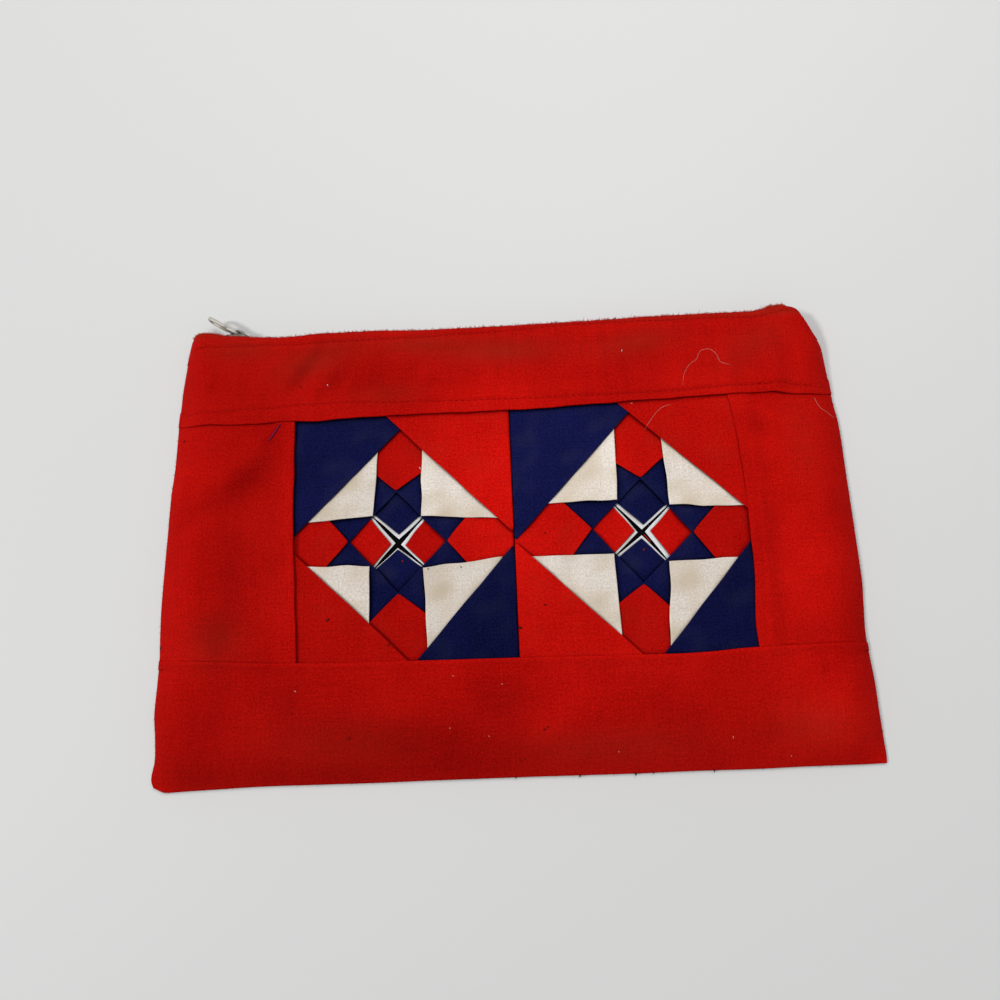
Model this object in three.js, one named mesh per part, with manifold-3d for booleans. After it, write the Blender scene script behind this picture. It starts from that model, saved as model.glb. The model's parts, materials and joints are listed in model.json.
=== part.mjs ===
// Patchwork zipper pouch, empty and closed, lying flat on its back panel.
// Millimetres, +Z up. +X runs along the zipper, +Y from the bottom seam to the zipper,
// and z = 0 is the surface that the back panel lies on, with the origin at the pouch's middle.
import * as THREE from 'three';
import { mergeVertices } from 'three/addons/utils/BufferGeometryUtils.js';
import Module from 'manifold-3d';

const wasm = await Module();
wasm.setup();
const MERGE_DISTANCE = 1e-4;

// Overall size of the sewn pouch, before its edges wander
const POUCH_WIDTH = 246.5;
const POUCH_HEIGHT = 164;
const HALF_WIDTH = POUCH_WIDTH / 2;
const HALF_HEIGHT = POUCH_HEIGHT / 2;

// Cloth walls and the air between them
const CLEARANCE = 0.3;
const HALF_CLEARANCE = CLEARANCE / 2;
const CLOTH_WALL = 1.2;
const BACK_WALL = 1.0;
const FOUNDATION_WALL = 1.0;
const CAVITY_HEIGHT = 4.8;
const SEAM_HEIGHT = 3.2;
const FRONT_EDGE_RADIUS = 14;
const BACK_EDGE_RADIUS = 8;

// Levels of the front, from the foundation cloth up
const FOUNDATION_TOP = BACK_WALL + CAVITY_HEIGHT + FOUNDATION_WALL;
const PATCH_FLOOR = FOUNDATION_TOP + CLEARANCE;
const HEM_TOP = PATCH_FLOOR + 2.8;
const BAND_TOP = HEM_TOP - 0.5;
const PANEL_TOP = HEM_TOP - 1.1;
const SEAM_RIDGE_TOP = HEM_TOP - 0.1;

// Folded hems: how far the doubled cloth reaches in from a fold
const HEM_WIDTH = 5;
const HEM_STEP = 1.5;
const ZIP_HEM_THICKNESS = 1.8;
const FOLD_NOSE = 0.5;

// The folded points of one block, from the centre outwards: each layer lies on the one before it
const LAYER_THICKNESS = {
  whiteEdge: 1.0,
  innerPoint: 1.3,
  navyStrip: 1.6,
  redLobe: 1.9,
  whiteTriangle: 2.2,
  corner: 2.5,
};
const SLIT_HALF_WIDTH = 0.75;
const WHITE_EDGE_WIDTH = 1.7;
const FOLD_ROUNDING = 0.3;
const NECK_ROUNDING = 0.1;
const SEAM_ALLOWANCE = 3;

// How far each side edge lies outside the plain rectangle: a row for each height
const SIDE_EDGES = [
  { y: -84, left: -0.4, right: -0.4 },
  { y: -79, left: 1.2, right: 0.2 },
  { y: -58, left: 1.3, right: -0.3 },
  { y: -41, left: 1.0, right: -1.4 },
  { y: -20, left: 1.9, right: 0.9 },
  { y: 5, left: 1.2, right: 1.7 },
  { y: 33, left: 0.2, right: 2.0 },
  { y: 50, left: 0.4, right: 0.6 },
  { y: 65, left: -0.1, right: -0.1 },
  { y: 84, left: -1.8, right: -7.2 },
];
// How far the bottom seam and the zipper fold lie outside it: a row for each place across
const END_EDGES = [
  { x: -121, bottom: 1.0, top: 1.6 },
  { x: -106, bottom: 0.4, top: 0.2 },
  { x: -84, bottom: -0.7, top: -1.4 },
  { x: -30, bottom: -0.2, top: -0.8 },
  { x: 40, bottom: 0.1, top: 0.0 },
  { x: 100, bottom: 0.3, top: 0.8 },
  { x: 109, bottom: 0.3, top: 2.8 },
  { x: 121, bottom: 0.2, top: 0.2 },
];
const SIDE_SHIFT_REACH = 40;
const END_SHIFT_REACH = 26;

// Where the cloth walls have their grid lines, apart from the rounded edges and the hems
const FRONT_EDGE_STEPS = 4;
const BACK_EDGE_STEPS = 3;
const TOP_BAND_COLUMNS = [-92, -78, -52, -25, 1.6, 29, 57, 84.2, 101];
const TOP_BAND_MIDDLE = 18;
const BOTTOM_BAND_COLUMNS = [-92, -74.8, -49, -23, 2.1, 29, 56, 83.3, 100];
const BOTTOM_BAND_ROWS_FROM_SEAM = [18, 12, 6.5, 5, 3, 0.8, 0];
const PANEL_COLUMNS_FROM_FOLD = [20, 10, 6.5, 5, 0.5, 0];
const PANEL_ROW_COUNT = 9;
const BACK_COLUMNS = [-75, -45, -15, 15, 45, 75];
const BACK_ROWS = [-50, -27, -4, 26, 50];

// Fold lines of the front, straight between the rows
const TOP_BAND_FOLD = [
  { x: -121, y: 44.8 },
  { x: -78, y: 46.0 },
  { x: 1.6, y: 46.4 },
  { x: 84.2, y: 48.5 },
  { x: 101, y: 49.9 },
  { x: 121, y: 46.4 },
];
const BOTTOM_BAND_SEAM = [
  { x: -121, y: -40.4 },
  { x: -74.8, y: -42.6 },
  { x: 2.1, y: -43.4 },
  { x: 83.3, y: -43.2 },
  { x: 121, y: -42.6 },
];
const LEFT_PANEL_FOLD = [
  { y: -42.6, x: -74.8 },
  { y: 46.0, x: -78 },
];
const RIGHT_PANEL_FOLD = [
  { y: -43.2, x: 83.3 },
  { y: 48.5, x: 84.2 },
];
const BLOCK_SEAM = [
  { y: -43.4, x: 2.1 },
  { y: 46.4, x: 1.6 },
];

// Soft swells and hollows of the pressed cloth: a row for each, with its reach both ways
const SOFT_RELIEF = [
  { x: -99, y: 18, reachX: 12, reachY: 30, rise: 0.5 },
  { x: -104, y: -22, reachX: 12, reachY: 16, rise: -0.4 },
  { x: 104, y: 22, reachX: 11, reachY: 22, rise: 0.6 },
  { x: 101, y: -18, reachX: 10, reachY: 16, rise: -0.3 },
  { x: -40, y: 64, reachX: 40, reachY: 9, rise: 0.3 },
  { x: 101, y: 56, reachX: 14, reachY: 8, rise: 0.5 },
  { x: -60, y: -62, reachX: 34, reachY: 10, rise: 0.4 },
  { x: 60, y: -64, reachX: 34, reachY: 10, rise: 0.3 },
];

// The two star blocks, measured from their own centres. lane: half width of the arm beside the white
// triangle, across and up. fold: reach of the corner's fold along the diagonal sum |x| + |y|.
const BLOCKS = [
  {
    name: 'left_block',
    centre: { x: -40.2, y: -1.5 },
    window: { north: 17.3, east: 16.6, south: 17.3, west: 16.7 },
    quadrants: {
      northwest: { x: -1, y: 1, laneX: 9.0, laneY: 9.8, fold: 40.8, colour: 'navy' },
      northeast: { x: 1, y: 1, laneX: 9.2, laneY: 9.0, fold: 43.4, colour: 'red' },
      southwest: { x: -1, y: -1, laneX: 10.2, laneY: 9.0, fold: 39.3, colour: 'red' },
      southeast: { x: 1, y: -1, laneX: 9.8, laneY: 9.4, fold: 45.4, colour: 'navy' },
    },
  },
  {
    name: 'right_block',
    centre: { x: 47.1, y: -1.1 },
    window: { north: 18.2, east: 17.2, south: 17.2, west: 16.8 },
    quadrants: {
      northwest: { x: -1, y: 1, laneX: 8.4, laneY: 11.6, fold: 44.7, colour: 'navy' },
      northeast: { x: 1, y: 1, laneX: 10.8, laneY: 9.0, fold: 44.3, colour: 'red' },
      southwest: { x: -1, y: -1, laneX: 10.4, laneY: 8.6, fold: 46.6, colour: 'red' },
      southeast: { x: 1, y: -1, laneX: 8.6, laneY: 11.2, fold: 45.5, colour: 'navy' },
    },
  },
];
const ARMS = {
  north: { x: 0, y: 1, clockwise: 'northeast', counter: 'northwest', colour: 'navy' },
  east: { x: 1, y: 0, clockwise: 'southeast', counter: 'northeast', colour: 'red' },
  south: { x: 0, y: -1, clockwise: 'southwest', counter: 'southeast', colour: 'navy' },
  west: { x: -1, y: 0, clockwise: 'northwest', counter: 'southwest', colour: 'red' },
};

// Zipper: a straight chain that looks out of the top edge between the two folds
const ZIP_MIDDLE_Z = 4.95;
const ZIP_FACE_Y = 82.2;
const TOOTH_THICKNESS = 2.0;
const TOOTH_REACH = 1.9;
const TOOTH_SPINE = 0.7;
const TOOTH_PITCH = 3;
const TOOTH_TAPER = 0.15;
const TOOTH_COUNT = 69;
const TAPE_THICKNESS = 0.8;
const TAPE_LEG = 10;
const TAPE_LEFT = -111.4;
const TAPE_RIGHT = 104;
const CHAIN_LEFT = -105.6;

// Slider and pull tab, in the slider's own frame: x along the chain, y out of the pouch, z across it
const SLIDER_X = -103.4;
const SLIDER_LENGTH = 9;
const OUTER_PLATE = { noseHalf: 2.8, tailHalf: 2.4, corner: 1.2 };
const INNER_PLATE = { noseHalf: 1.7, tailHalf: 1.6, corner: 0.8 };
const PLATE_THICKNESS = 1.1;
const FLANGE_THICKNESS = 0.6;
const FLANGE_DEPTH = 2.2;
const POST_LENGTH = 1.9;
const POST_WIDTH = 1.8;
const CROWN_HALF_LENGTH = 3.1;
const CROWN_HEIGHT = 2.9;
const CROWN_BAR = 1.0;
const CROWN_WIDTH = 2.0;
const TAB_LENGTH = 15.6;
const TAB_WIDTH = 5.5;
const TAB_NECK_WIDTH = 4.6;
const TAB_THICKNESS = 1.2;
const TAB_ROUNDING = 0.2;
const TAB_SLOT_HALF = 1.45;
const TAB_SLOT_END = 4.1;
const TAB_EYE_LENGTH = 6;
const TAB_EYE_WIDTH = 2.4;
const TAB_EYE_CENTRE = 10.4;
const TAB_REST_ANGLE = THREE.MathUtils.degToRad(150);

const RED = 0xb8120e;
const NAVY = 0x17184a;
const WHITE = 0xe2dacd;
const BLACK = 0x0b0b0f;
const NICKEL = 0xc9c7c1;
const PATCH_COLOURS = { red: RED, navy: NAVY, white: WHITE };

function cotton(colour) {
  return new THREE.MeshStandardMaterial({ color: colour, roughness: 0.9, metalness: 0 });
}

function nickel() {
  return new THREE.MeshStandardMaterial({ color: NICKEL, roughness: 0.35, metalness: 1 });
}

// Straight-line reading of a table between its rows
function along(rows, key, value, at) {
  const last = rows.length - 1;
  const next = rows.findIndex((row, i) => i > 0 && (at <= row[key] || i === last));
  const a = rows[next - 1];
  const b = rows[next];
  const share = THREE.MathUtils.clamp((at - a[key]) / (b[key] - a[key]), 0, 1);
  return THREE.MathUtils.lerp(a[value], b[value], share);
}

// Moves a point of the plain rectangle to the pouch's wandering outline; the middle stays where it is
function wander(x, y) {
  const leftShare = THREE.MathUtils.clamp(1 - (x + HALF_WIDTH) / SIDE_SHIFT_REACH, 0, 1);
  const rightShare = THREE.MathUtils.clamp(1 - (HALF_WIDTH - x) / SIDE_SHIFT_REACH, 0, 1);
  const bottomShare = THREE.MathUtils.clamp(1 - (y + HALF_HEIGHT) / END_SHIFT_REACH, 0, 1);
  const topShare = THREE.MathUtils.clamp(1 - (HALF_HEIGHT - y) / END_SHIFT_REACH, 0, 1);
  return {
    x: x - leftShare * along(SIDE_EDGES, 'y', 'left', y) + rightShare * along(SIDE_EDGES, 'y', 'right', y),
    y: y - bottomShare * along(END_EDGES, 'x', 'bottom', x) + topShare * along(END_EDGES, 'x', 'top', x),
  };
}

// Sum of the soft swells at a place
function relief(x, y) {
  return SOFT_RELIEF.reduce((sum, soft) => {
    const dx = (x - soft.x) / soft.reachX;
    const dy = (y - soft.y) / soft.reachY;
    return sum + soft.rise * Math.exp(-dx * dx - dy * dy);
  }, 0);
}

// The quarter-round of a sewn edge at one station: { edge, angle } on the round, or { at } inside it
function roundedStation(station, radius, wall, outer) {
  if (station.edge === undefined) {
    return { at: station.at, rise: 1 };
  }
  const reach = outer ? radius : radius - wall;
  const inset = radius - reach * Math.cos(station.angle);
  return { at: station.edge - Math.sign(station.edge) * inset, rise: Math.sin(station.angle) };
}

function edgeStations(edge, steps) {
  const angles = Array.from({ length: steps + 1 }, (_, i) => (i / steps) * (Math.PI / 2));
  return angles.map((angle) => ({ edge, angle }));
}

function plainStations(places) {
  return places.map((at) => ({ at }));
}

// A closed cloth wall over a grid of stations: place(across, along, top) gives each corner of the grid
function clothWall(across, up, place) {
  const wall = new THREE.BoxGeometry(1, 1, 1, across.length - 1, up.length - 1, 1);
  const corners = wall.attributes.position;
  for (let i = 0; i < corners.count; i += 1) {
    const column = Math.round((corners.getX(i) + 0.5) * (across.length - 1));
    const row = Math.round((corners.getY(i) + 0.5) * (up.length - 1));
    const point = place(across[column], up[row], corners.getZ(i) > 0);
    corners.setXYZ(i, point.x, point.y, point.z);
  }
  return closed(wall);
}

// Keeps only shared corners, so that the walls of a body meet
function closed(geometry) {
  geometry.deleteAttribute('normal');
  geometry.deleteAttribute('uv');
  return mergeVertices(geometry, MERGE_DISTANCE);
}

function solidOf(geometry) {
  const body = closed(geometry);
  return new wasm.Manifold(new wasm.Mesh({
    numProp: 3,
    vertProperties: new Float32Array(body.attributes.position.array),
    triVerts: new Uint32Array(body.index.array),
  }));
}

function geometryOf(solid) {
  const mesh = solid.getMesh();
  const geometry = new THREE.BufferGeometry();
  geometry.setAttribute('position', new THREE.BufferAttribute(mesh.vertProperties, 3));
  geometry.setIndex(new THREE.BufferAttribute(mesh.triVerts, 1));
  return geometry;
}

function joined(...geometries) {
  const [first, ...others] = geometries.map(solidOf);
  return geometryOf(others.reduce((sum, solid) => sum.add(solid), first));
}

function box(x0, x1, y0, y1, z0, z1) {
  const geometry = new THREE.BoxGeometry(x1 - x0, y1 - y0, z1 - z0);
  return geometry.translate((x0 + x1) / 2, (y0 + y1) / 2, (z0 + z1) / 2);
}

function named(name, geometry, material) {
  const mesh = new THREE.Mesh(geometry, material);
  mesh.name = name;
  return mesh;
}

// Height of a front wall whose flat part is at level, over the rounded sewn edges
function frontHeight(level, acrossRise, upRise, soft) {
  return SEAM_HEIGHT + (level - SEAM_HEIGHT + soft) * acrossRise * upRise;
}

// How far a place belongs to the doubled hem beside a fold, from 1 in the hem to 0 in the single cloth
function hemShare(distance) {
  return 1 - THREE.MathUtils.smoothstep(distance, HEM_WIDTH, HEM_WIDTH + HEM_STEP);
}

// Stations that step over a hem, counted from its fold
function hemStations() {
  return [0, FOLD_NOSE, HEM_WIDTH, HEM_WIDTH + HEM_STEP];
}

// Top band: folded under along its lower edge over the blocks, and folded to the zipper along its upper edge
function topBand() {
  const across = [
    ...edgeStations(-HALF_WIDTH, FRONT_EDGE_STEPS),
    ...plainStations(TOP_BAND_COLUMNS),
    ...edgeStations(HALF_WIDTH, FRONT_EDGE_STEPS).reverse(),
  ];
  const lower = hemStations().map((offset) => ({ fromLower: offset }));
  const upper = hemStations().reverse().map((offset) => ({ fromUpper: offset }));
  const middle = { fromUpper: TOP_BAND_MIDDLE };
  const up = [...lower, middle, ...upper];
  return clothWall(across, up, (column, row, top) => {
    const x = roundedStation(column, FRONT_EDGE_RADIUS, CLOTH_WALL, top);
    const fold = along(TOP_BAND_FOLD, 'x', 'y', x.at) + HALF_CLEARANCE;
    const y = row.fromUpper === undefined ? fold + row.fromLower : HALF_HEIGHT - row.fromUpper;
    const lowerHem = hemShare(y - fold);
    const upperHem = hemShare(HALF_HEIGHT - y);
    const nose = Math.min(y - fold, HALF_HEIGHT - y) === 0 ? FOLD_NOSE : 0;
    const topLevel = THREE.MathUtils.lerp(BAND_TOP, HEM_TOP, Math.max(lowerHem, upperHem)) - nose;
    let underLevel = BAND_TOP - CLOTH_WALL;
    underLevel = THREE.MathUtils.lerp(underLevel, PATCH_FLOOR, lowerHem);
    underLevel = THREE.MathUtils.lerp(underLevel, HEM_TOP - ZIP_HEM_THICKNESS, upperHem);
    const level = top ? topLevel : underLevel;
    const soft = relief(x.at, y) * (1 - Math.max(lowerHem, upperHem));
    const place = wander(x.at, y);
    return new THREE.Vector3(place.x, place.y, frontHeight(level, x.rise, 1, soft));
  });
}

// Bottom band: a pressed seam along its upper edge, with the ridge of the turned allowance just below it
function bottomBand() {
  const across = [
    ...edgeStations(-HALF_WIDTH, FRONT_EDGE_STEPS),
    ...plainStations(BOTTOM_BAND_COLUMNS),
    ...edgeStations(HALF_WIDTH, FRONT_EDGE_STEPS).reverse(),
  ];
  const lower = edgeStations(-HALF_HEIGHT, FRONT_EDGE_STEPS);
  const upper = BOTTOM_BAND_ROWS_FROM_SEAM.map((offset) => ({ fromSeam: offset }));
  return clothWall(across, [...lower, ...upper], (column, row, top) => {
    const x = roundedStation(column, FRONT_EDGE_RADIUS, CLOTH_WALL, top);
    const seam = along(BOTTOM_BAND_SEAM, 'x', 'y', x.at) - HALF_CLEARANCE;
    const plain = row.fromSeam === undefined ? row : { at: seam - row.fromSeam };
    const y = roundedStation(plain, FRONT_EDGE_RADIUS, CLOTH_WALL, top);
    const hem = hemShare(seam - y.at);
    const nose = y.at === seam ? FOLD_NOSE : 0;
    const topLevel = THREE.MathUtils.lerp(PANEL_TOP, SEAM_RIDGE_TOP, hem) - nose;
    const underLevel = THREE.MathUtils.lerp(PANEL_TOP - CLOTH_WALL, PATCH_FLOOR, hem);
    const level = top ? topLevel : underLevel;
    const place = wander(x.at, y.at);
    const soft = relief(x.at, y.at) * (1 - hem);
    return new THREE.Vector3(place.x, place.y, frontHeight(level, x.rise, y.rise, soft));
  });
}

// Side panel: folded under along the edge that lies over the block, sewn to the back along the other
function sidePanel(side, foldLine) {
  const outerEdge = edgeStations(side * HALF_WIDTH, FRONT_EDGE_STEPS);
  const inner = PANEL_COLUMNS_FROM_FOLD.map((offset) => ({ fromFold: offset }));
  const outwards = [...outerEdge, ...inner];
  const across = side < 0 ? outwards : outwards.reverse();
  const up = Array.from({ length: PANEL_ROW_COUNT }, (_, i) => i / (PANEL_ROW_COUNT - 1));
  return clothWall(across, up, (column, share, top) => {
    const yAt = (x) => THREE.MathUtils.lerp(
      along(BOTTOM_BAND_SEAM, 'x', 'y', x) + HALF_CLEARANCE,
      along(TOP_BAND_FOLD, 'x', 'y', x) - HALF_CLEARANCE,
      share,
    );
    const middleY = yAt(side * HALF_WIDTH);
    const fold = along(foldLine, 'y', 'x', middleY) + side * HALF_CLEARANCE;
    const plain = column.fromFold === undefined ? column : { at: fold + side * column.fromFold };
    const x = roundedStation(plain, FRONT_EDGE_RADIUS, CLOTH_WALL, top);
    const y = yAt(x.at);
    const distance = side * (x.at - fold);
    const hem = hemShare(distance);
    const nose = distance === 0 ? FOLD_NOSE : 0;
    const topLevel = THREE.MathUtils.lerp(PANEL_TOP, HEM_TOP, hem) - nose;
    const underLevel = THREE.MathUtils.lerp(PANEL_TOP - CLOTH_WALL, PATCH_FLOOR, hem);
    const level = top ? topLevel : underLevel;
    const soft = relief(x.at, y) * (1 - hem);
    const place = wander(x.at, y);
    return new THREE.Vector3(place.x, place.y, frontHeight(level, x.rise, 1, soft));
  });
}

// Back panel: one flat cloth, turned up to the seam at its sides and bottom and doubled at the zipper fold
function backPanel() {
  const seam = SEAM_HEIGHT - CLEARANCE;
  const across = [
    ...edgeStations(-HALF_WIDTH, BACK_EDGE_STEPS),
    ...plainStations(BACK_COLUMNS),
    ...edgeStations(HALF_WIDTH, BACK_EDGE_STEPS).reverse(),
  ];
  const fold = hemStations().reverse().map((offset) => ({ at: HALF_HEIGHT - offset }));
  const lower = edgeStations(-HALF_HEIGHT, BACK_EDGE_STEPS);
  const up = [...lower, ...plainStations(BACK_ROWS), ...fold];
  return clothWall(across, up, (column, row, top) => {
    const x = roundedStation(column, BACK_EDGE_RADIUS, BACK_WALL, !top);
    const y = roundedStation(row, BACK_EDGE_RADIUS, BACK_WALL, !top);
    const hem = hemShare(HALF_HEIGHT - y.at);
    const nose = y.at === HALF_HEIGHT ? FOLD_NOSE : 0;
    const innerLevel = THREE.MathUtils.lerp(BACK_WALL, ZIP_HEM_THICKNESS, hem);
    const level = top ? innerLevel : nose;
    const place = wander(x.at, y.at);
    return new THREE.Vector3(place.x, place.y, seam - (seam - level) * x.rise * y.rise);
  });
}

// Line through two points, moved to its left by a distance
function leftOf(a, b, distance) {
  const run = new THREE.Vector2().subVectors(b, a).normalize();
  const aside = new THREE.Vector2(-run.y, run.x).multiplyScalar(distance);
  return { point: new THREE.Vector2().addVectors(a, aside), run };
}

function crossing(first, second) {
  const between = new THREE.Vector2().subVectors(second.point, first.point);
  const share = between.cross(second.run) / first.run.cross(second.run);
  return first.point.clone().addScaledVector(first.run, share);
}

// An outline drawn in by half the clearance, so that neighbouring patches keep the whole of it
function drawnIn(outline, distance) {
  const anticlockwise = THREE.ShapeUtils.isClockWise(outline) ? outline.slice().reverse() : outline;
  const count = anticlockwise.length;
  return anticlockwise.map((corner, i) => {
    const before = anticlockwise[(i + count - 1) % count];
    const after = anticlockwise[(i + 1) % count];
    return crossing(leftOf(before, corner, distance), leftOf(corner, after, distance));
  });
}

// One folded patch: its outline in plan, standing on the foundation, with its fold rounded over
function patch(outline, thickness, rounding) {
  const shape = new THREE.Shape(drawnIn(outline, HALF_CLEARANCE));
  const geometry = new THREE.ExtrudeGeometry(shape, {
    depth: thickness - 2 * rounding,
    bevelThickness: rounding,
    bevelSize: rounding,
    bevelOffset: -rounding,
    bevelSegments: 1,
  });
  return closed(geometry.translate(0, 0, PATCH_FLOOR + rounding));
}

// Keeps the part of a convex outline where the measure is not positive
function trimmed(outline, measure) {
  const kept = [];
  outline.forEach((corner, i) => {
    const next = outline[(i + 1) % outline.length];
    const here = measure(corner);
    const there = measure(next);
    if (here <= 0) {
      kept.push(corner);
    }
    if (here * there < 0) {
      kept.push(corner.clone().lerp(next, here / (here - there)));
    }
  });
  return kept;
}

// Plan of one star block: every patch is cut from the same few lines, so that neighbours meet
function blockPlan(block, frame) {
  const at = (x, y) => new THREE.Vector2(block.centre.x + x, block.centre.y + y);
  const inward = (point) => ({ x: point.x - block.centre.x, y: point.y - block.centre.y });
  const sum = (quadrant, point) => quadrant.x * inward(point).x + quadrant.y * inward(point).y;
  const insideFold = (quadrant) => (point) => sum(quadrant, point) - quadrant.fold;
  const pastFold = (quadrant) => (point) => quadrant.fold - sum(quadrant, point);
  const windowCorner = (name) => at(ARMS[name].x * block.window[name], ARMS[name].y * block.window[name]);
  const laneCorner = (quadrant) => at(quadrant.x * quadrant.laneX, quadrant.y * quadrant.laneY);

  // Half width of an arm on the side of a quadrant, and the matching outward point of the arm's lobe
  const lane = (arm, quadrant) => (arm.x === 0 ? quadrant.laneX : quadrant.laneY);
  const lobeShoulder = (name, quadrant) => {
    const arm = ARMS[name];
    const width = lane(arm, quadrant);
    const reach = block.window[name] + width;
    return arm.x === 0 ? at(quadrant.x * width, arm.y * reach) : at(arm.x * reach, quadrant.y * width);
  };
  const whiteTriangle = (quadrant) => {
    const tipUp = at(quadrant.x * quadrant.laneX, quadrant.y * (quadrant.fold - quadrant.laneX));
    const tipAcross = at(quadrant.x * (quadrant.fold - quadrant.laneY), quadrant.y * quadrant.laneY);
    return frame.keep([laneCorner(quadrant), tipUp, tipAcross]);
  };
  const redLobe = (name) => {
    const arm = ARMS[name];
    const sides = [block.quadrants[arm.counter], block.quadrants[arm.clockwise]];
    const [near, far] = sides.map((quadrant) => lobeShoulder(name, quadrant));
    const overrun = new THREE.Vector2(arm.x, arm.y).multiplyScalar(POUCH_HEIGHT);
    const [nearEnd, farEnd] = [near, far].map((point) => point.clone().add(overrun));
    let outline = [windowCorner(name), near, nearEnd, farEnd, far];
    sides.forEach((quadrant) => {
      outline = trimmed(outline, insideFold(quadrant));
    });
    return frame.keep(outline);
  };
  const navyStrip = (name, quadrant) => {
    const arms = name.startsWith('north') ? ['north'] : ['south'];
    arms.push(name.endsWith('west') ? 'west' : 'east');
    const [upright, level] = arms;
    return [
      windowCorner(upright),
      lobeShoulder(upright, quadrant),
      laneCorner(quadrant),
      lobeShoulder(level, quadrant),
      windowCorner(level),
    ];
  };

  // The red corners lie over the navy ones where their folds cross
  const corner = (quadrant) => {
    let outline = trimmed(frame.outline, pastFold(quadrant));
    Object.values(block.quadrants)
      .filter((other) => other !== quadrant && other.colour === 'red' && quadrant.colour === 'navy')
      .forEach((other) => {
        outline = trimmed(outline, insideFold(other));
      });
    return outline;
  };

  // Inside the window each arm holds a point on its diagonal slits: a navy or red fold over a white one
  const pointCorner = (name, quadrant, fromSlit) => {
    const arm = ARMS[name];
    const ends = [windowCorner(name)];
    const across = arm.x === 0 ? (quadrant.x < 0 ? 'west' : 'east') : (quadrant.y < 0 ? 'south' : 'north');
    ends.push(windowCorner(across));
    const diagonal = at(quadrant.x, quadrant.y).sub(at(0, 0)).normalize();
    const slit = { point: at(0, 0), run: diagonal };
    const towardsArm = new THREE.Vector2(arm.x, arm.y);
    const aside = towardsArm.clone().addScaledVector(diagonal, -towardsArm.dot(diagonal)).normalize();
    slit.point.addScaledVector(aside, fromSlit);
    return crossing(slit, { point: ends[0], run: ends[1].clone().sub(ends[0]).normalize() });
  };
  const apex = (name, fromSlit) => {
    const reach = fromSlit * Math.SQRT2;
    return at(ARMS[name].x * reach, ARMS[name].y * reach);
  };
  const innerPoint = (name) => {
    const [counter, clockwise] = [ARMS[name].counter, ARMS[name].clockwise].map((q) => block.quadrants[q]);
    const back = SLIT_HALF_WIDTH + WHITE_EDGE_WIDTH;
    return [
      apex(name, back),
      pointCorner(name, clockwise, back),
      windowCorner(name),
      pointCorner(name, counter, back),
    ];
  };
  const whiteEdge = (name) => {
    const [counter, clockwise] = [ARMS[name].counter, ARMS[name].clockwise].map((q) => block.quadrants[q]);
    const back = SLIT_HALF_WIDTH + WHITE_EDGE_WIDTH;
    return [
      apex(name, SLIT_HALF_WIDTH),
      pointCorner(name, clockwise, HALF_CLEARANCE),
      pointCorner(name, clockwise, back),
      apex(name, back),
      pointCorner(name, counter, back),
      pointCorner(name, counter, HALF_CLEARANCE),
    ];
  };
  return { whiteTriangle, redLobe, navyStrip, corner, innerPoint, whiteEdge };
}

// The opening that the bands, the panel and the other block leave for a block
function blockFrame(westFold, eastFold) {
  const top = (x) => along(TOP_BAND_FOLD, 'x', 'y', x);
  const bottom = (x) => along(BOTTOM_BAND_SEAM, 'x', 'y', x);
  const [southwest, northwest] = westFold;
  const [southeast, northeast] = eastFold;
  const outline = [
    new THREE.Vector2(southwest.x, bottom(southwest.x)),
    new THREE.Vector2(southeast.x, bottom(southeast.x)),
    new THREE.Vector2(northeast.x, top(northeast.x)),
    new THREE.Vector2(northwest.x, top(northwest.x)),
  ];
  const keep = (plan) => [
    (point) => along(westFold, 'y', 'x', point.y) - point.x,
    (point) => point.x - along(eastFold, 'y', 'x', point.y),
    (point) => bottom(point.x) - point.y,
    (point) => point.y - top(point.x),
  ].reduce(trimmed, plan);
  return { outline, keep };
}

// Black foundation cloth: the whole block and its seam allowance under the bands and the panel
function foundation(frame, outerSide) {
  const [southwest, southeast, northeast, northwest] = frame.outline.map((point) => point.clone());
  southwest.y -= SEAM_ALLOWANCE;
  southeast.y -= SEAM_ALLOWANCE;
  northeast.y += SEAM_ALLOWANCE;
  northwest.y += SEAM_ALLOWANCE;
  const sewn = outerSide < 0 ? [southwest, northwest] : [southeast, northeast];
  sewn.forEach((point) => {
    point.x += outerSide * SEAM_ALLOWANCE;
  });
  const shape = new THREE.Shape(drawnIn([southwest, southeast, northeast, northwest], HALF_CLEARANCE));
  const cloth = new THREE.ExtrudeGeometry(shape, { depth: FOUNDATION_WALL, bevelEnabled: false });
  return closed(cloth.translate(0, 0, FOUNDATION_TOP - FOUNDATION_WALL));
}

function starBlock(block, frame, outerSide) {
  const plan = blockPlan(block, frame);
  const group = new THREE.Group();
  const add = (name, outline, thickness, colour, rounding = FOLD_ROUNDING) => {
    const geometry = patch(outline, thickness, rounding);
    group.add(named(`${block.name}_${name}`, geometry, cotton(PATCH_COLOURS[colour])));
  };
  group.add(named(`${block.name}_foundation`, foundation(frame, outerSide), cotton(BLACK)));
  Object.entries(ARMS).forEach(([name, arm]) => {
    add(`white_edge_${name}`, plan.whiteEdge(name), LAYER_THICKNESS.whiteEdge, 'white', NECK_ROUNDING);
    add(`inner_point_${name}`, plan.innerPoint(name), LAYER_THICKNESS.innerPoint, arm.colour);
    add(`red_lobe_${name}`, plan.redLobe(name), LAYER_THICKNESS.redLobe, 'red');
  });
  Object.entries(block.quadrants).forEach(([name, quadrant]) => {
    const strip = plan.navyStrip(name, quadrant);
    add(`navy_strip_${name}`, strip, LAYER_THICKNESS.navyStrip, 'navy', NECK_ROUNDING);
    add(`white_triangle_${name}`, plan.whiteTriangle(quadrant), LAYER_THICKNESS.whiteTriangle, 'white');
    add(`corner_${name}`, plan.corner(quadrant), LAYER_THICKNESS.corner, quadrant.colour);
  });
  return group;
}

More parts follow.
